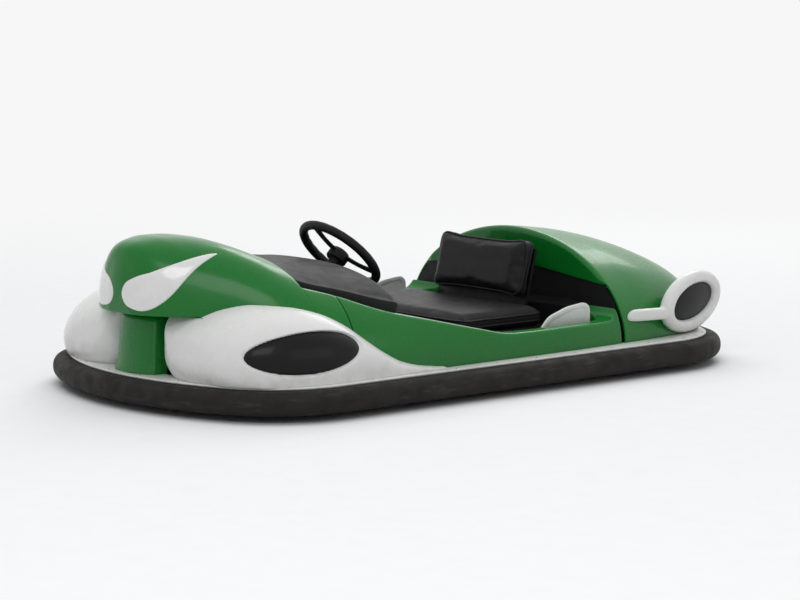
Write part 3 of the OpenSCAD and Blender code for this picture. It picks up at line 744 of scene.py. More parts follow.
def turned_down(rim, low_of, roll, steep, bend, steps, way):
    """Rows from a section's edge: first a rolled bend, then straight down to the height low_of gives.

    way is the sign of the roll along the car, steep the largest part of the fall that the roll may take and
    bend the part of the steps that it takes."""
    face = []
    for t in np.linspace(0, 1, steps):
        row = []
        for x, y, z in rim:
            low = min(low_of(y), z)
            turned = min(roll, (z - low) * steep)
            a = min(1.0, t / bend) * math.pi / 2
            down = max(0.0, (t - bend) / (1 - bend))
            row.append((x + way * turned * math.sin(a), y,
                        z - turned * (1 - math.cos(a)) - (z - low - turned) * down))
        face.append(row)
    return face


def tail_piece():
    """The rounded tail with its rolled front edge and the lip that hangs down behind the seat."""
    roll, blunt = 0.012, -0.80
    stations = np.concatenate([np.linspace(TAIL_FACE + 0.0015 - roll, blunt, 42),
                               np.linspace(blunt, TAIL_END, 22)[1:]])
    rows = [at_x(x, whole(spread(BODY.half(x, steps=260), 120))) for x in stations]
    build = Builder()
    build.grid(rows + closing(rows[-1], (0.0, SILL), TAIL_END, -0.012, 4.5, 14))
    build.grid(turned_down(rows[0], lip_height, roll, 0.5, 1 / 3, 17, 1))
    moulding(build, "tail_moulding", "green_shell", "tail_body", bpy.context.scene.car_body.wall,
             lambda c: (-0.68, 0, 0.12))


# The keel's half outline from above, its height, the place that it grows from, and how much at each level
KEEL_EDGE = ((0.700, -0.090), (0.882, -0.090), (0.908, -0.080), (0.925, -0.052))
KEEL_TIP, KEEL_TALL, KEEL_CENTRE, KEEL_MIDDLE = (0.932, 0.0), 0.1534, 0.80, 0.87
KEEL_LEVELS = (
    (0.0, 0.005), (0.010, 0.005), (0.017, 0.002), (0.026, 0.0), (0.060, 0.0), (0.100, 0.0), (0.135, 0.0),
    (0.145, -0.002), (0.151, -0.006), (KEEL_TALL, -0.012),
)


def keel_piece():
    """The upright beak below the nose, with a flared foot and a rounded top."""
    outline = through([*KEEL_EDGE, KEEL_TIP, *((x, -y) for x, y in reversed(KEEL_EDGE))], 8)
    rear = PROW_X + 0.001
    rows = []
    for rise, grow in KEEL_LEVELS:
        narrow, back = (1 - share * rise / KEEL_TALL for share in (0.10, 0.015))
        row = []
        for x, y in outline[outline[:, 0] > rear]:
            k = 1 + grow / math.hypot(x - KEEL_CENTRE, y)
            row.append((max(rear, KEEL_CENTRE + (x * back - KEEL_CENTRE) * k), y * narrow * k, SILL + rise))
        rows.append(row)
    build = Builder()
    build.grid(rows, wrap_cols=True)
    build.fan(rows[0], (KEEL_MIDDLE, 0, SILL))
    build.fan(rows[-1], (KEEL_MIDDLE, 0, SILL + KEEL_TALL))
    dress(build.make("keel_moulding"), "green_shell", "nose_keel")


def marker_piece():
    """A small round lamp on the keel."""
    face_x, height = 0.8985, 0.222
    rows = [[(face_x + d, r * math.cos(a), height + r * math.sin(a)) for a in circle(24)] for r, d in (
        (0.011, -0.020), (0.011, -0.004), (0.0095, -0.001), (0.006, 0.0012), (0.002, 0.002))]
    build = Builder()
    build.grid(rows, wrap_cols=True)
    build.fan(rows[-1], (face_x + 0.0021, 0, height))
    build.fan(rows[0])
    dress(build.make("marker_lamp"), "white_shell", finish="lamp_white")


# Front fairings

OVAL_X, OVAL_Z, OVAL_L, OVAL_H = 0.690, 0.170, 0.340, 0.112
OVAL_TURN, OVAL_SINK = math.radians(3), 0.012
# A fairing stays this far below the nose
UNDER_NOSE = PROW_Z - 0.0015


def oval_place(x, z):
    """How far out a point lies in the oval: 0 in its middle, 1 at its edge."""
    dx, dz = x - OVAL_X, z - OVAL_Z
    u = dx * math.cos(OVAL_TURN) - dz * math.sin(OVAL_TURN)
    v = dx * math.sin(OVAL_TURN) + dz * math.cos(OVAL_TURN)
    return math.hypot(2 * u / OVAL_L, 2 * v / OVAL_H)


def pod_trim(x):
    """Where a fairing's skin meets the body or turns in beside the keel, and its half section."""
    half = POD.half(x, steps=400)
    if x <= PROW_X:
        inside = half[:, 0] < BODY.reach(x, half[:, 1]) + 0.0015
        return int(np.argmax(inside)) if inside.any() else len(half) - 1, half
    at_prow, at_end = 0.236, 0.190
    stop = at_prow - (at_prow - at_end) * (x - PROW_X) / (POD_END - PROW_X)
    return int(np.argmax(half[:, 0] < stop)), half


def pod_inner(x):
    """Half width of a fairing's inner wall, which curves away from the keel towards the front."""
    start, long, gap, sweep = 0.850, 0.058, 0.010, 0.075
    t = 0.93 * max(0.0, x - start) / long
    return KEEL_HALF + gap + sweep * (1 - math.sqrt(1 - t * t))


def tucked(x, y, z):
    """Draws the foot of a fairing's front in, under its bulge and away from the keel."""
    tall, back, out = 0.060, 0.015, 0.020
    ahead, near_keel = (min(1.0, max(0.0, t)) for t in ((x - 0.80) / 0.09, (0.24 - y) / 0.10))
    low = max(0.0, 1 - (z - SILL) / tall) ** 2 * ease(ahead)
    return x - back * low, y + out * low * near_keel, z


def sunk(x, y, z):
    """Presses the oval recess into the fairing's skin."""
    r, slope = oval_place(x, z), 0.0045
    if r >= 1 or y < 0.3:
        return y
    return y - OVAL_SINK * ease(min(1.0, (1 - r) * OVAL_H / 2 / slope))


def pod_rows():
    """A fairing's outer skin, and its inner wall ahead of the prow."""
    count, blunt, roll = 74, 0.870, 0.012
    stations = np.concatenate([np.linspace(POD_TABLE[-1][0], 0.500, 40), np.linspace(0.500, PROW_X, 86)[1:],
                               np.linspace(PROW_X + 0.0004, blunt, 7),
                               blunt + (POD_END - blunt) * np.sin(np.linspace(0, math.pi / 2, 16)[1:])])
    main, inner = [], []
    for x in stations:
        stop, half = pod_trim(x)
        stop, ahead = max(stop, 3), x > PROW_X
        row = [(x, sunk(x, y, z), z) for y, z in spread(half[:stop + 1], count)]
        main.append([(x, y, min(z, UNDER_NOSE) if ahead and y < BODY.reach(x, PROW_Z) else z)
                     for x, y, z in row])
        if ahead:
            y_in = pod_inner(x)
            rest = half[stop:]
            rest = rest[rest[:, 0] > y_in + roll]
            top = rest[-1, 1]
            rest = np.vstack([rest, [(y_in + roll, top)]])
            edge = corner(rest[-1], np.array((y_in, top)), np.array((y_in, top - roll)), 6)[1:]
            down = spread([(y_in, top - roll), (y_in, SILL)], 12)[1:]
            inner.append([(x, y, min(z, UNDER_NOSE)) for y, z in np.vstack([spread(rest, 16), edge, down])])
    return main, inner


def pod_piece(side, sy):
    """A white front fairing that wraps the corner and trails into the sill."""
    main, inner = pod_rows()
    last = main[-1] + inner[-1][1:]
    build = Builder()
    for rows in (main, inner, [last] + closing(last, (0.22, SILL), POD_END, 0.010, 2.4, 14)):
        build.grid(sided([[tucked(*p) for p in row] for row in rows], sy))
    skin = build.make(f"front_fairing_{side}", weld=0.0003)
    face_out(skin, lambda c: (min(c.x, 0.7), 0.2 * sy, 0.10))
    thicken(skin, 0.0035, 0)
    dress(skin, "white_shell", f"front_pod_{side}", angle=45)


def disc_piece(side, sy):
    """The black oval panel in a fairing: slightly domed, with a rolled edge."""
    out_to, seat, dome = 0.955, 0.0002, 0.0075

    def ring(r, rise):
        row = []
        for a in circle(72):
            u, v = r * math.cos(a) * OVAL_L / 2, r * math.sin(a) * OVAL_H / 2
            x = OVAL_X + u * math.cos(OVAL_TURN) + v * math.sin(OVAL_TURN)
            z = OVAL_Z - u * math.sin(OVAL_TURN) + v * math.cos(OVAL_TURN)
            row.append((x, sy * (float(POD.reach(x, z)) - OVAL_SINK + rise), z))
        return row

    rows = [ring(out_to, seat)]
    rows += [ring(r, seat + dome * (1 - (r / out_to) ** 5) ** 0.5) for r in np.linspace(out_to, 0.03, 14)]
    build = Builder()
    build.grid(rows, wrap_cols=True)
    build.fan(rows[-1])
    build.fan(rows[0], np.mean(ring(0.02, seat), axis=0))
    dress(build.make(f"fairing_oval_{side}"), "black_trim", f"pod_disc_{side}", finish="black_gloss")


# Lamp panels


def nose_front(y, z):
    """Where along the car the nose's skin is, seen from the front at (y, z)."""
    keep = (BODY.x > 0.60) & (BODY.top > z + 0.001)
    reach = BODY.reach(BODY.x[keep], z)
    rise = int(np.argmax(reach)) + 1
    if y < reach[0] and BODY.top[0] > z:
        return NOSE_END + NOSE_BULGE * (1 - min(y / reach[0], 1.0) ** NOSE_POWER)
    return float(np.interp(y, reach[:rise], BODY.x[keep][:rise]))


def lamp_piece(side, sy):
    """A teardrop panel that lies on the nose like a thick pressed lens."""
    outline = through(LAMP_EDGE, 9, closed=True)
    middle = outline.mean(0)
    thick, sink, step = 0.0052, -0.002, 0.002

    def on_skin(p, rise):
        y, z = p
        across = (nose_front(y + step, z) - nose_front(y - step, z)) / (2 * step)
        up = (nose_front(y, z + step) - nose_front(y, z - step)) / (2 * step)
        q = Vector((nose_front(y, z), y, z)) + Vector((1, -across, -up)).normalized() * rise
        return (q.x, sy * q.y, q.z)

    levels = [(r, sink) for r in (0.08, 0.4, 0.7, 1.0)]
    levels += [(r, thick * (1 - r**9) ** 0.5)
               for r in (1.0, 0.985, 0.96, 0.92, 0.85, 0.75, 0.62, 0.48, 0.34, 0.2, 0.08)]
    rows = [[on_skin(middle + (p - middle) * r, rise) for p in outline] for r, rise in levels]
    build = Builder()
    build.grid(rows, wrap_cols=True)
    build.fan(rows[-1], on_skin(middle, thick))
    build.fan(rows[0], on_skin(middle, sink))
    dress(build.make(f"lamp_panel_{side}"), "white_shell", f"headlamp_{side}", finish="lamp_white", angle=50)


# Rear rings

RING_AT = (-0.764, 0.436, 0.180)
RING_L, RING_H, RING_T, RING_DEEP = 0.310, 0.172, 0.038, 0.044
RING_PLACE = (Matrix.Translation(RING_AT) @ Matrix.Rotation(math.radians(14), 4, "Z")
              @ Matrix.Rotation(math.radians(9), 4, "Y"))
ARM_TIP, ARM_TALL, ARM_THICK, ARM_THINNER = Vector((-0.484, 0.458, 0.162)), 0.0165, 0.016, 0.005


def ring_piece(side, sy):
    """A white oval ring with its forward arm, fused into one skin."""
    build = Builder()
    rows = []
    for a in circle(96):
        rows.append([((RING_L - RING_T + RING_T * math.cos(b)) / 2 * math.cos(a), RING_DEEP / 2 * math.sin(b),
                      (RING_H - RING_T + RING_T * math.cos(b)) / 2 * math.sin(a)) for b in circle(24)])
    build.grid(sided(placed(rows, RING_PLACE), sy), wrap_rows=True, wrap_cols=True)
    root = RING_PLACE @ Vector(((RING_L - RING_T) / 2, 0, 0))
    arm = []
    for t in np.linspace(0, 1, 40):
        c = root.lerp(ARM_TIP, t)
        blunt = (1 - t**14) ** 0.5
        tall, thick = ARM_TALL * blunt + 0.001, (ARM_THICK - ARM_THINNER * t) * blunt + 0.001
        row = []
        for b in circle(24):
            out, up = signed(math.cos(b), 0.65), signed(math.sin(b), 0.65)
            row.append((c.x - 0.65 * tall * up * t**3, c.y + thick * out, c.z + tall * up))
        arm.append(row)
    build.tube(sided(arm, sy))
    ring = build.make(f"ring_moulding_{side}")
    modified(ring, "REMESH", mode="VOXEL", voxel_size=0.0026, adaptivity=0.0)
    modified(ring, "SMOOTH", factor=0.5, iterations=7)
    dress(ring, "white_shell", f"rear_ring_{side}", angle=60)


def ring_disc_piece(side, sy):
    """The black domed disc in a rear ring."""
    half_l, half_h = (size / 2 - RING_T + 0.006 for size in (RING_L, RING_H))
    rows = [[(half_l * r * math.cos(a), y, half_h * r * math.sin(a)) for a in circle(64)] for r, y in (
        (0.05, -0.007), (0.9, -0.007), (1.0, -0.004), (1.0, 0.0), (0.96, 0.004), (0.85, 0.0075),
        (0.65, 0.0105), (0.4, 0.0125), (0.15, 0.0135), (0.05, 0.0137))]
    build = Builder()
    build.tube(sided(placed(rows, RING_PLACE), sy))
    dress(build.make(f"ring_oval_{side}"), "black_trim", f"rear_disc_{side}", finish="black_gloss")


# Bumper and flange


def bumper_piece():
    """The rubber tyre round the car, with a faint mould line along its middle."""
    middle, half_h = (BUMPER_LOW + BUMPER_HIGH) / 2, (BUMPER_HIGH - BUMPER_LOW) / 2
    bulge, flat, edge, line = BUMPER_T * 0.45, 0.042, 0.003, 0.0022
    side = [(bulge * (1 - abs(math.cos(a)) ** 0.95), middle + half_h * signed(math.sin(a), 0.95))
            for a in np.linspace(math.pi / 2, -math.pi / 2, 25)]
    side[12:13] = [(0.0008, middle + line), (0.0, middle), (0.0008, middle - line)]
    profile = [(BUMPER_T, BUMPER_HIGH - edge), (BUMPER_T - edge, BUMPER_HIGH), (flat, BUMPER_HIGH), *side,
               (flat, BUMPER_LOW), (BUMPER_T - edge, BUMPER_LOW), (BUMPER_T, BUMPER_LOW + edge)]
    build = Builder()
    build.grid(plan_rows(profile), wrap_rows=True, wrap_cols=True)
    dress(build.make("bumper_tyre"), "bumper_rubber", "bumper_tube", angle=60)


def flange_piece():
    """White flange with a rounded outer edge."""
    low, high, edge = FLANGE_LOW, FLANGE_TOP, 0.0015
    profile = [(0.046, low), (0.0443, low + edge), (0.0440, (low + high) / 2), (0.0443, high - edge),
               (0.046, high), (0.052, high), (0.120, high), (0.120, low)]
    build = Builder()
    build.grid(plan_rows(profile), wrap_rows=True, wrap_cols=True)
    dress(build.make("sill_flange"), "white_shell", "sill_trim")


def screws_piece():
    """Screw heads along the flange."""
    count, inset = 36, 0.052
    path = bumper_plan(inset)
    path.append(path[0])
    places = lengths(np.array(path))[-1] * (np.arange(count) + 0.5) / count
    build = Builder()
    for at in places:
        x, y = spread(path, 2, at, at)[0]
        build.tube([[(x + r * math.cos(a), y + r * math.sin(a), FLANGE_TOP + h) for a in circle(14)]
                    for r, h in ((0.0045, -0.0004), (0.0045, 0.0008), (0.0038, 0.0018), (0.0024, 0.0024),
                                 (0.0010, 0.0026))])
    dress(build.make("flange_screws", weld=0.00001), "bare_steel", finish="screw_steel")


# Cockpit

COWL_REAR, DASH_LOW = 0.330, 0.252


def cowl_piece():
    """Black cowl that carries the nose's line back over the dash, with a rounded rear edge."""
    drop, roll, edge = 0.001, 0.014, 0.008
    rows = []
    for x in np.linspace(HOOD_REAR - 0.0015, COWL_REAR + roll, 34):
        inner = mouth_half(x) - 0.0008
        ys = np.linspace(inner - edge, 0, 34)
        crown = np.stack([ys, [float(BODY.height(x, y, -drop)) for y in ys]], 1)
        top = crown[0, 1]
        bend = corner(np.array((inner, top - edge)), np.array((inner, top)), crown[0], 5)[:-1]
        foot = min(rim_height(x) - 0.020, top - 0.010)
        skirt = spread([(inner, foot), (inner, top - edge)], 6)[:-1]
        rows.append(at_x(x, whole(np.vstack([skirt, bend, crown]))))
    build = Builder()
    build.grid(rows)
    build.grid(turned_down(rows[-1], lambda y: DASH_LOW, roll, 0.45, 0.45, 14, -1))
    moulding(build, "dash_moulding", "black_trim", "dash_cowl", 0.004)


def mat_piece():
    """Rubber mat with ribs across the footwell and a plain border."""
    lo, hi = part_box("floor_mat")
    pitch, border = 0.010, 0.014
    flat = hi.z - 0.0016
    xs, zs = [lo.x, lo.x + border], [flat, flat]
    x = lo.x + border
    while x + pitch < hi.x - border:
        xs += [x + 0.0015, x + 0.0030, x + 0.0065, x + 0.0080]
        zs += [flat, hi.z, hi.z, flat]
        x += pitch
    rows = [[(x, lo.y, lo.z), (x, lo.y, flat), (x, lo.y + border, flat), (x, lo.y + border + 0.002, z),
             (x, hi.y - border - 0.002, z), (x, hi.y - border, flat), (x, hi.y, flat), (x, hi.y, lo.z)]
            for x, z in zip(xs + [hi.x], zs + [flat])]
    build = Builder()
    build.grid(rows, wrap_cols=True)
    dress(build.make("ribbed_mat", weld=0.00001, close=True), "mat_rubber", "floor_mat", angle=25)


WHEEL_HUB, COLUMN_TILT = (0.205, 0.0, 0.352), math.radians(45)
WHEEL_D, RIM_T = 0.270, 0.026


def wheel_piece():
    """Steering wheel: a rim with finger grips, three dished spokes and a padded hub."""
    place = Matrix.Translation(WHEEL_HUB) @ Matrix.Rotation(-COLUMN_TILT, 4, "Y")
    middle, hub, grips = (WHEEL_D - RIM_T) / 2, 0.018, 24
    build = Builder()
    rows = []
    for a in circle(192):
        row = []
        for b in circle(18):
            grip = 0.0010 * (0.5 - 0.5 * math.cos(grips * a)) * max(0.0, math.cos(b - math.pi * 0.75))
            r = RIM_T / 2 - grip
            out = middle + r * math.cos(b)
            row.append((out * math.cos(a), out * math.sin(a), r * math.sin(b)))
        rows.append(row)
    build.grid(placed(rows, place), wrap_rows=True, wrap_cols=True)
    for spoke in (0, 120, 240):
        rows = []
        for t in np.linspace(0, 1, 14):
            out = hub + t * (middle - hub)
            wide = 0.013 - 0.003 * math.sin(math.pi * t)
            dish = -0.002 - 0.004 * math.sin(math.pi * t * 0.9)
            rows.append([(out, wide * signed(math.cos(b), 0.5), dish + 0.004 * signed(math.sin(b), 0.7))
                         for b in circle(16)])
        build.tube(placed(rows, place @ Matrix.Rotation(math.radians(spoke), 4, "Z")))
    boss = ((0.016, -0.024), (0.029, -0.0235), (0.031, -0.020), (0.031, -0.002), (0.030, 0.003),
            (0.026, 0.007), (0.018, 0.009), (0.006, 0.0098))
    build.tube(placed([[(r * math.cos(a), r * math.sin(a), h) for a in circle(40)] for r, h in boss], place))
    dress(build.make("hand_wheel", weld=0.00001), "black_trim", "steering_wheel", "steering", angle=50)


def rounded(points, reach, steps=6):
    """A closed outline whose corners are rounded, each by at most reach."""
    out = []
    n = len(points)
    for i in range(n):
        a, b, c = (np.asarray(points[(i + j) % n], float) for j in (-1, 0, 1))
        before, after = (b + (q - b) * min(reach / np.linalg.norm(q - b), 0.48) for q in (a, c))
        out.extend(corner(before, b, after, steps))
    return np.array(out)


def shrunk(outline, by):
    """An outline drawn in towards its middle by a distance."""
    inward = outline.mean(0) - outline
    return outline + by * inward / np.linalg.norm(inward, axis=1, keepdims=True)


def side_plates():
    """Moulded white panels beside the seat, with a rolled edge and a sunk middle."""
    lo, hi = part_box("seat_side_panels")
    long, tall, half = hi.x - lo.x, hi.z - lo.z, 0.004
    shape = [(0, 0), (long, 0), (long - 0.014, tall - 0.068), (long - 0.050, tall - 0.030),
             (long - 0.120, tall - 0.008), (0.020, tall), (0, tall - 0.014)]
    outline = rounded(shape, 0.016)
    outline = spread(np.vstack([outline, outline[:1]]), 121)[:-1]
    middle = outline.mean(0)
    levels = [(0.020, half - 0.0016), (0.016, half - 0.0016), (0.0135, half), (0.003, half),
              (0.0008, half - 0.0008), (0.0, half - 0.003)]
    build = Builder()
    for sy in (1, -1):
        y_mid = sy * (hi.y - half)
        rings = [[(lo.x + x, y_mid + side * out, lo.z + z) for x, z in shrunk(outline, by)]
                 for side, order in ((1, levels), (-1, levels[::-1])) for by, out in order]
        build.grid(rings, wrap_cols=True)
        for ring in (rings[0], rings[-1]):
            build.fan(ring, (lo.x + middle[0], ring[0][1], lo.z + middle[1]))
    dress(build.make("side_plates"), "white_shell", "seat_side_panels")


def tread_piece():
    """Ribbed rubber tread on the foot pedal."""
    lo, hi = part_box("pedal")
    place = (Matrix.Translation((lo.x + 0.008, (lo.y + hi.y) / 2, lo.z + 0.004))
             @ Matrix.Rotation(-math.radians(24), 4, "Y") @ Matrix.Translation((0.006, 0, 0.0059)))
    long, half, edge, base, top = 0.080, 0.026, 0.0012, 0.002, 0.0042
    xs, zs = [0.0, 0.0, edge], [0.0, edge, base]
    while xs[-1] + 0.010 < long - 0.004:
        x = xs[-1]
        xs += [x + 0.0045, x + 0.0055, x + 0.0085, x + 0.0095]
        zs += [base, top, top, base]
    xs += [long - edge, long, long]
    zs += [base, edge, 0.0]
    across = ((-half, 0.0), (-half, 0.0014), (-half + 0.004, top),
              (half - 0.004, top), (half, 0.0014), (half, 0.0))
    build = Builder()
    build.grid(placed([[(x, y, min(z, limit)) for y, limit in across] for x, z in zip(xs, zs)], place),
               wrap_cols=True)
    dress(build.make("pedal_tread", weld=0.00001, close=True), "mat_rubber", angle=25)


# Road wheels


def turned(build, profile, centre, closed):
    """A form turned about the cross axis through centre, from (radius, side) points."""
    rows = [[(centre[0] + r * math.sin(a), centre[1] + h, centre[2] + r * math.cos(a)) for a in circle(72)]
            for r, h in profile]
    if closed:
        build.grid(rows, wrap_rows=True, wrap_cols=True)
    else:
        build.tube(rows)


def both_sides(profile):
    """A profile given for one side, with its mirror image on the other."""
    return profile + [(r, -h) for r, h in reversed(profile)]


def road_wheel(label, body, bore):
    """A small solid tyre with two grooves on a dished hub with five bolts."""
    tyre_node, hub_node, tread, boss_name = (f"{label[0]}_{kind}{label[1]}"
                                             for kind in ("tyre", "hub", "tread", "boss"))
    lo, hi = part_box(tyre_node)
    hub_lo, hub_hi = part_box(hub_node)
    centre = tuple((lo + hi) / 2)
    big, half, rim = (hi.x - lo.x) / 2, (hi.y - lo.y) / 2, (hub_hi.x - hub_lo.x) / 2
    end = (hub_hi.y - hub_lo.y) / 2
    tyre = Builder()
    turned(tyre, both_sides([
        (rim, half), (rim + 0.006, half), (rim + 0.0068, half - 0.0008), (big - 0.0125, half - 0.0008),
        (big - 0.0117, half), (big - 0.0075, half - 0.0004), (big - 0.0032, half - 0.0022),
        (big - 0.0008, half - 0.0052), (big, half - 0.0085), (big, 0.0100), (big - 0.0030, 0.0092),
        (big - 0.0030, 0.0066), (big, 0.0058)]), centre, True)
    dress(tyre.make(tread, weld=0.00001), "tyre_rubber", tyre_node, body, angle=32)
    face, dish, boss, bevel = half - 0.001, half - 0.006, 0.018, 0.0125
    step = [(boss, dish + 0.001), (boss + 0.001, dish), (rim - bevel, dish), (rim - 0.0085, face - 0.0006),
            (rim - 0.0075, face), (rim, face)]
    hub = Builder()
    if bore:
        turned(hub, both_sides([(bore, end), (boss - 0.001, end), (boss, end - 0.001)] + step), centre, True)
    else:
        turned(hub, both_sides([(0.0085, end), (0.0100, end - 0.0015), (0.0100, dish + 0.0035),
                                (boss - 0.001, dish + 0.0035)] + step), centre, False)
    ring, bolts = (boss + rim - bevel) / 2, 5
    for side in (1, -1):
        for i in range(bolts):
            a = math.radians(360 / bolts * (i + 0.5))
            x, z = centre[0] + ring * math.sin(a), centre[2] + ring * math.cos(a)
            hub.tube([[(x + r * math.cos(b), centre[1] + side * (dish + h), z + r * math.sin(b))
                       for b in circle(6)]
                      for r, h in ((0.0046, -0.0006), (0.0046, 0.0028), (0.0038, 0.0036))])
    dress(hub.make(boss_name, weld=0.00001), "bare_steel", hub_node, body, angle=32)


# Seat pads

SEAT_REAR, SEAT_D, SEAT_W, SEAT_T, SEAT_TOP = -0.324, 0.340, 0.600, 0.058, 0.190
BACK_W, BACK_T, BACK_H, BACK_LEAN = 0.400, 0.062, 0.178, math.radians(14)
# The foam block is smaller than its cover by this much on each side
FOAM_GAP = 0.006


def pad_shape(name, size, radius, place):
    """A plain rounded block, standing for the foam before it is filled."""
    l, w, t = size
    bm = bmesh.new()
    bmesh.ops.create_cube(bm, size=1)
    for v in bm.verts:
        v.co = Vector((v.co.x * l + l / 2, v.co.y * w, v.co.z * t + t / 2))
    bmesh.ops.bevel(bm, geom=bm.edges, offset=radius, segments=4, affect="EDGES", profile=0.5)
    obj = mesh_object(name, [], [])
    bm.to_mesh(obj.data)
    bm.free()
    obj.data.transform(place)
    return obj


def vertices(obj):
    return np.array([v.co for v in obj.data.vertices])


def inflate(obj, limit):
    """Fills a pad: remesh, cloth pressure, capped movement within limits and a light smoothing."""
    scene, frames = bpy.context.scene, 20
    modified(obj, "REMESH", mode="VOXEL", voxel_size=0.006)
    before = vertices(obj)
    cloth = obj.modifiers.new("fill", "CLOTH")
    cloth.settings.quality = 5
    cloth.settings.use_pressure = True
    cloth.settings.uniform_pressure_force = scene.car_pads.pressure
    cloth.settings.effector_weights.gravity = 0
    cloth.point_cache.frame_start, cloth.point_cache.frame_end = 1, frames
    for f in range(1, frames + 1):
        scene.frame_set(f)
    apply_all(obj)
    scene.frame_set(1)
    move = vertices(obj) - before
    size = np.linalg.norm(move, axis=1, keepdims=True)
    move *= np.minimum(1, scene.car_pads.swell / np.maximum(size, 1e-9))
    obj.data.vertices.foreach_set("co", limit(before + move).ravel())
    modified(obj, "SMOOTH", factor=0.4, iterations=3)


def welt(name, pad, path, out):
    """Piping sewn round a pad: a closed cord laid on its skin, near the given path."""
    radius = bpy.context.scene.car_pads.welt
    tree = BVHTree.FromObject(pad, bpy.context.evaluated_depsgraph_get())
    points = []
    for p, d in zip(path, out):
        hit = tree.find_nearest(Vector(p) + Vector(d) * 0.02)
        points.append(hit[0] + hit[1] * radius * 0.45)
    points = np.array(points)
    for _ in range(4):
        points = (np.roll(points, 1, 0) + 2 * points + np.roll(points, -1, 0)) / 4
    rows = []
    for i, point in enumerate(points):
        along = Vector(points[(i + 1) % len(points)] - points[i - 1]).normalized()
        side = along.cross(Vector((0, 0, 1))).normalized()
        lift = side.cross(along)
        rows.append([tuple(Vector(point) + side * radius * math.cos(a) + lift * radius * math.sin(a))
                     for a in circle(8)])
    build = Builder()
    build.grid(rows, wrap_rows=True, wrap_cols=True)
    dress(build.make(name, weld=0.00001), "seat_vinyl", finish="welt_vinyl", angle=80)


def round_path(l, w, radius, count):
    """A rounded rectangle and its outward directions, from x 0 to l and y -w/2 to w/2."""
    corners = ((l - radius, w / 2 - radius, 0), (radius, w / 2 - radius, 90),
               (radius, -w / 2 + radius, 180), (l - radius, -w / 2 + radius, 270))
    points = [(x + radius * math.cos(math.radians(a)), y + radius * math.sin(math.radians(a)))
              for x, y, start in corners for a in np.linspace(start, start + 90, 8)]
    even = spread(points + points[:1], count + 1)[:-1]
    along = np.roll(even, -1, 0) - np.roll(even, 1, 0)
    along /= np.linalg.norm(along, axis=1, keepdims=True)
    return even, np.stack([along[:, 1], -along[:, 0]], 1)


def cushion_piece():
    """The filled seat cushion and its piping."""
    foot = SEAT_TOP - SEAT_T
    pad = pad_shape("seat_pad", (SEAT_D - 2 * FOAM_GAP, SEAT_W - 2 * FOAM_GAP, SEAT_T - 0.012), 0.018,
                    Matrix.Translation((SEAT_REAR + FOAM_GAP, 0, foot + 0.002)))

    def on_box(co):
        co[:, 2] = np.clip(co[:, 2], foot, SEAT_TOP + 0.006)
        return co

    inflate(pad, on_box)
    dress(pad, "seat_vinyl", "seat_cushion", angle=70)
    edge = 0.004
    path, out = round_path(SEAT_D - 2 * edge, SEAT_W - 2 * edge, 0.030, 200)
    for label, z in (("top", SEAT_TOP - 0.010), ("foot", foot + 0.010)):
        welt(f"seat_welt_{label}", pad, [(x + SEAT_REAR + edge, y, z) for x, y in path],
             [(dx, dy, 0) for dx, dy in out])


def back_piece():
    """The filled seat back, which leans rearward, and its piping."""
    lean = Matrix.Translation((SEAT_REAR - 0.018, 0, SEAT_TOP + 0.0003)) @ Matrix.Rotation(-BACK_LEAN, 4, "Y")
    pad = pad_shape("back_pad", (BACK_T - 0.010, BACK_W - 2 * FOAM_GAP, BACK_H - 2 * FOAM_GAP), 0.022,
                    lean @ Matrix.Translation((0.002, 0, 0.006)))
    undo, redo = np.array(lean.inverted()), np.array(lean)

    def on_board(co):
        local = co @ undo[:3, :3].T + undo[:3, 3]
        local[:, 0] = np.clip(local[:, 0], 0.0, BACK_T + 0.006)
        local[:, 2] = np.maximum(local[:, 2], 0.001)
        return local @ redo[:3, :3].T + redo[:3, 3]

    inflate(pad, on_board)
    dress(pad, "seat_vinyl", "seat_back", angle=70)
    edge = 0.005
    path, out = round_path(BACK_H - 2 * edge, BACK_W - 2 * edge, 0.034, 170)
    for label, depth in (("front", BACK_T - 0.012), ("rear", 0.010)):
        welt(f"back_welt_{label}", pad, [lean @ Vector((depth, y, x + edge)) for x, y in path],
             [lean.to_3x3() @ Vector((0, dy, dx)) for dx, dy in out])


# Stage

PALE = (0.93, 0.93, 0.93, 1)


def stage_floor():
    """A pale floor that passes into the surroundings far from the car."""
    far = 30
    floor = mesh_object("stage_floor", [(-far, -far, 0), (far, -far, 0), (far, far, 0), (-far, far, 0)],
                        [(0, 1, 2, 3)])
    f = Finish("pale floor", (0.87, 0.87, 0.87), 0.85, specular=0.1)
    f.tint((0.86, 0.86, 0.86), f.band(f.noise(14.0, 3), 0.40, 0.65))
    floor.data.materials.append(f.done())
    away = f.node("ShaderNodeVectorMath", {0: f.place}, operation="LENGTH").outputs["Value"]
    from_camera = f.node("ShaderNodeLightPath").outputs["Is Camera Ray"]
    haze = f.node("ShaderNodeEmission", {"Color": PALE})
    blend = f.node("ShaderNodeMixShader", {0: f.times(f.band(away, 2.0, 5.0), from_camera),
                                           1: f.shader.outputs[0], 2: haze.outputs[0]})
    f.link(blend.outputs[0], f.tree.nodes["Material Output"].inputs["Surface"])


def aimed(name, data, at, aim):
    """A new object with the data, looking from at to aim."""
    obj = bpy.data.objects.new(name, data)
    bpy.context.scene.collection.objects.link(obj)
    obj.location = at
    obj.rotation_mode = "QUATERNION"
    obj.rotation_quaternion = (Vector(aim) - Vector(at)).to_track_quat("-Z", "Y")
    return obj


def area_light(name, at, aim, size, power):
    data = bpy.data.lights.new(name, "AREA")
    data.shape, data.energy = "RECTANGLE", power
    data.size, data.size_y = size
    aimed(name, data, at, aim)


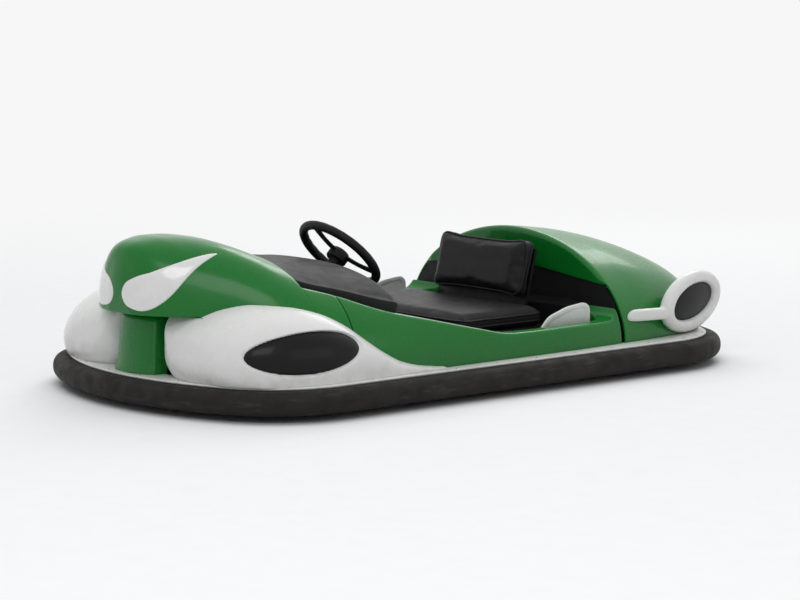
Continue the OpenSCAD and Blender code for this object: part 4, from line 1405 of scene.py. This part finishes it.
def stage_lights():
    """Three large lamps and a wide, soft sky."""
    area_light("key", (3.6, 3.4, 4.2), (0, 0, 0.2), (3.0, 2.2), 55)
    area_light("fill", (-1.0, 6.0, 2.4), (0, 0, 0.2), (4.0, 2.0), 15)
    area_light("back", (-4.5, -3.0, 3.6), (0, 0, 0.3), (3.0, 2.0), 50)
    data = bpy.data.lights.new("sky", "SUN")
    data.energy, data.angle = 1.8, math.radians(80)
    sky = bpy.data.objects.new("sky", data)
    bpy.context.scene.collection.objects.link(sky)
    sky.rotation_euler = (math.radians(18), math.radians(-14), 0)
    sky.visible_glossy = False


def stage_world(scene):
    """Pale surroundings for what is seen or mirrored, and a dimmer ambient light."""
    scene.world = bpy.data.worlds.new("pale studio")
    scene.world.use_nodes = True
    graph = Graph(scene.world.node_tree)
    graph.tree.nodes.clear()
    seen = graph.node("ShaderNodeBackground", {"Color": PALE})
    ambient = graph.node("ShaderNodeBackground", {"Color": (0.80, 0.82, 0.85, 1), "Strength": 0.42})
    rays = graph.node("ShaderNodeLightPath").outputs
    direct = graph.maths("MAXIMUM", graph.maths("MAXIMUM", rays["Is Camera Ray"], rays["Is Glossy Ray"]),
                         rays["Is Transmission Ray"])
    blend = graph.node("ShaderNodeMixShader", {0: direct, 1: ambient.outputs[0], 2: seen.outputs[0]})
    graph.node("ShaderNodeOutputWorld", {"Surface": blend.outputs[0]})


# Operators


class CAR_OT_stage(bpy.types.Operator):
    """Sets the floor, the lights, the pale surroundings and the camera"""

    bl_idname = "bumper_car.stage"
    bl_label = "Stage"

    def execute(self, context):
        scene = context.scene
        stage_floor()
        stage_lights()
        stage_world(scene)
        data = bpy.data.cameras.new("camera")
        data.lens, data.sensor_width = scene.car_stage.lens, 36
        bpy.context.scene.camera = aimed("camera", data, scene.car_stage.camera_at, scene.car_stage.aim_at)
        scene.view_settings.view_transform = "Standard"
        return {"FINISHED"}


class CAR_OT_finishes(bpy.types.Operator):
    """Makes the finishes and gives them to the CAD nodes that stay"""

    bl_idname = "bumper_car.finishes"
    bl_label = "Finishes"

    def execute(self, context):
        make_finishes()
        slots = {s["node"]: s["material_slot"] for s in frame["record"]["subparts"]}
        for name, node in frame["nodes"].items():
            node.data.materials.clear()
            node.data.materials.append(FINISHES[slots[name]])
        return {"FINISHED"}


class CAR_OT_mouldings(bpy.types.Operator):
    """Builds the green nose, side and tail mouldings, the keel and its lamp"""

    bl_idname = "bumper_car.mouldings"
    bl_label = "Body mouldings"

    def execute(self, context):
        hood_piece()
        for side, sy in SIDES:
            side_piece(side, sy)
        tail_piece()
        keel_piece()
        marker_piece()
        return {"FINISHED"}


class CAR_OT_fairings(bpy.types.Operator):
    """Builds the white front fairings, their ovals and the lamp panels"""

    bl_idname = "bumper_car.fairings"
    bl_label = "Front fairings"

    def execute(self, context):
        for side, sy in SIDES:
            pod_piece(side, sy)
            disc_piece(side, sy)
            lamp_piece(side, sy)
        return {"FINISHED"}


class CAR_OT_rings(bpy.types.Operator):
    """Builds the rear rings with their arms and discs"""

    bl_idname = "bumper_car.rings"
    bl_label = "Rear rings"

    def execute(self, context):
        for side, sy in SIDES:
            ring_piece(side, sy)
            ring_disc_piece(side, sy)
        return {"FINISHED"}


class CAR_OT_bumper(bpy.types.Operator):
    """Builds the rubber bumper and the screwed flange"""

    bl_idname = "bumper_car.bumper"
    bl_label = "Bumper and flange"

    def execute(self, context):
        bumper_piece()
        flange_piece()
        screws_piece()
        return {"FINISHED"}


class CAR_OT_cockpit(bpy.types.Operator):
    """Builds the dash cowl, the mat, the steering wheel, the side panels and the pedal's tread"""

    bl_idname = "bumper_car.cockpit"
    bl_label = "Cockpit"

    def execute(self, context):
        cowl_piece()
        mat_piece()
        wheel_piece()
        side_plates()
        tread_piece()
        return {"FINISHED"}


class CAR_OT_wheels(bpy.types.Operator):
    """Builds the grooved tyres and bolted hubs"""

    bl_idname = "bumper_car.wheels"
    bl_label = "Road wheels"

    def execute(self, context):
        road_wheel(("drive", ""), "drive_wheel", 0.0)
        for side in ("left", "right"):
            road_wheel(("rear", f"_{side}"), f"rear_wheel_{side}", 0.0105)
        return {"FINISHED"}


class CAR_OT_pads(bpy.types.Operator):
    """Fills and pipes the seat cushion and the seat back"""

    bl_idname = "bumper_car.pads"
    bl_label = "Seat pads"

    def execute(self, context):
        cushion_piece()
        back_piece()
        return {"FINISHED"}


STEPS = (CAR_OT_stage, CAR_OT_finishes, CAR_OT_mouldings, CAR_OT_fairings, CAR_OT_rings, CAR_OT_bumper,
         CAR_OT_cockpit, CAR_OT_wheels, CAR_OT_pads)
GROUPS = (("car_body", BodySettings), ("car_pads", CushionSettings), ("car_stage", StageSettings))


class CAR_PT_panel(bpy.types.Panel):
    """Lists the sizes, colours and steps"""

    bl_idname = "CAR_PT_panel"
    bl_label = "Bumper Car"
    bl_space_type = "VIEW_3D"
    bl_region_type = "UI"
    bl_category = "Bumper Car"

    def draw(self, context):
        for name, _ in GROUPS:
            group = getattr(context.scene, name)
            box = self.layout.box()
            for key in group.bl_rna.properties.keys():
                if key not in ("rna_type", "name"):
                    box.prop(group, key)
        for step in STEPS:
            self.layout.operator(step.bl_idname)


def register():
    for name, group in GROUPS:
        bpy.utils.register_class(group)
        setattr(bpy.types.Scene, name, PointerProperty(type=group))
    for shown in (*STEPS, CAR_PT_panel):
        bpy.utils.register_class(shown)


def unregister():
    for shown in (CAR_PT_panel, *reversed(STEPS)):
        bpy.utils.unregister_class(shown)
    for name, group in reversed(GROUPS):
        delattr(bpy.types.Scene, name)
        bpy.utils.unregister_class(group)


def main():
    register()
    for step in STEPS:
        area, call = step.bl_idname.split(".")
        getattr(getattr(bpy.ops, area), call)()
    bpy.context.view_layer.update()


if __name__ == "__main__":
    main()
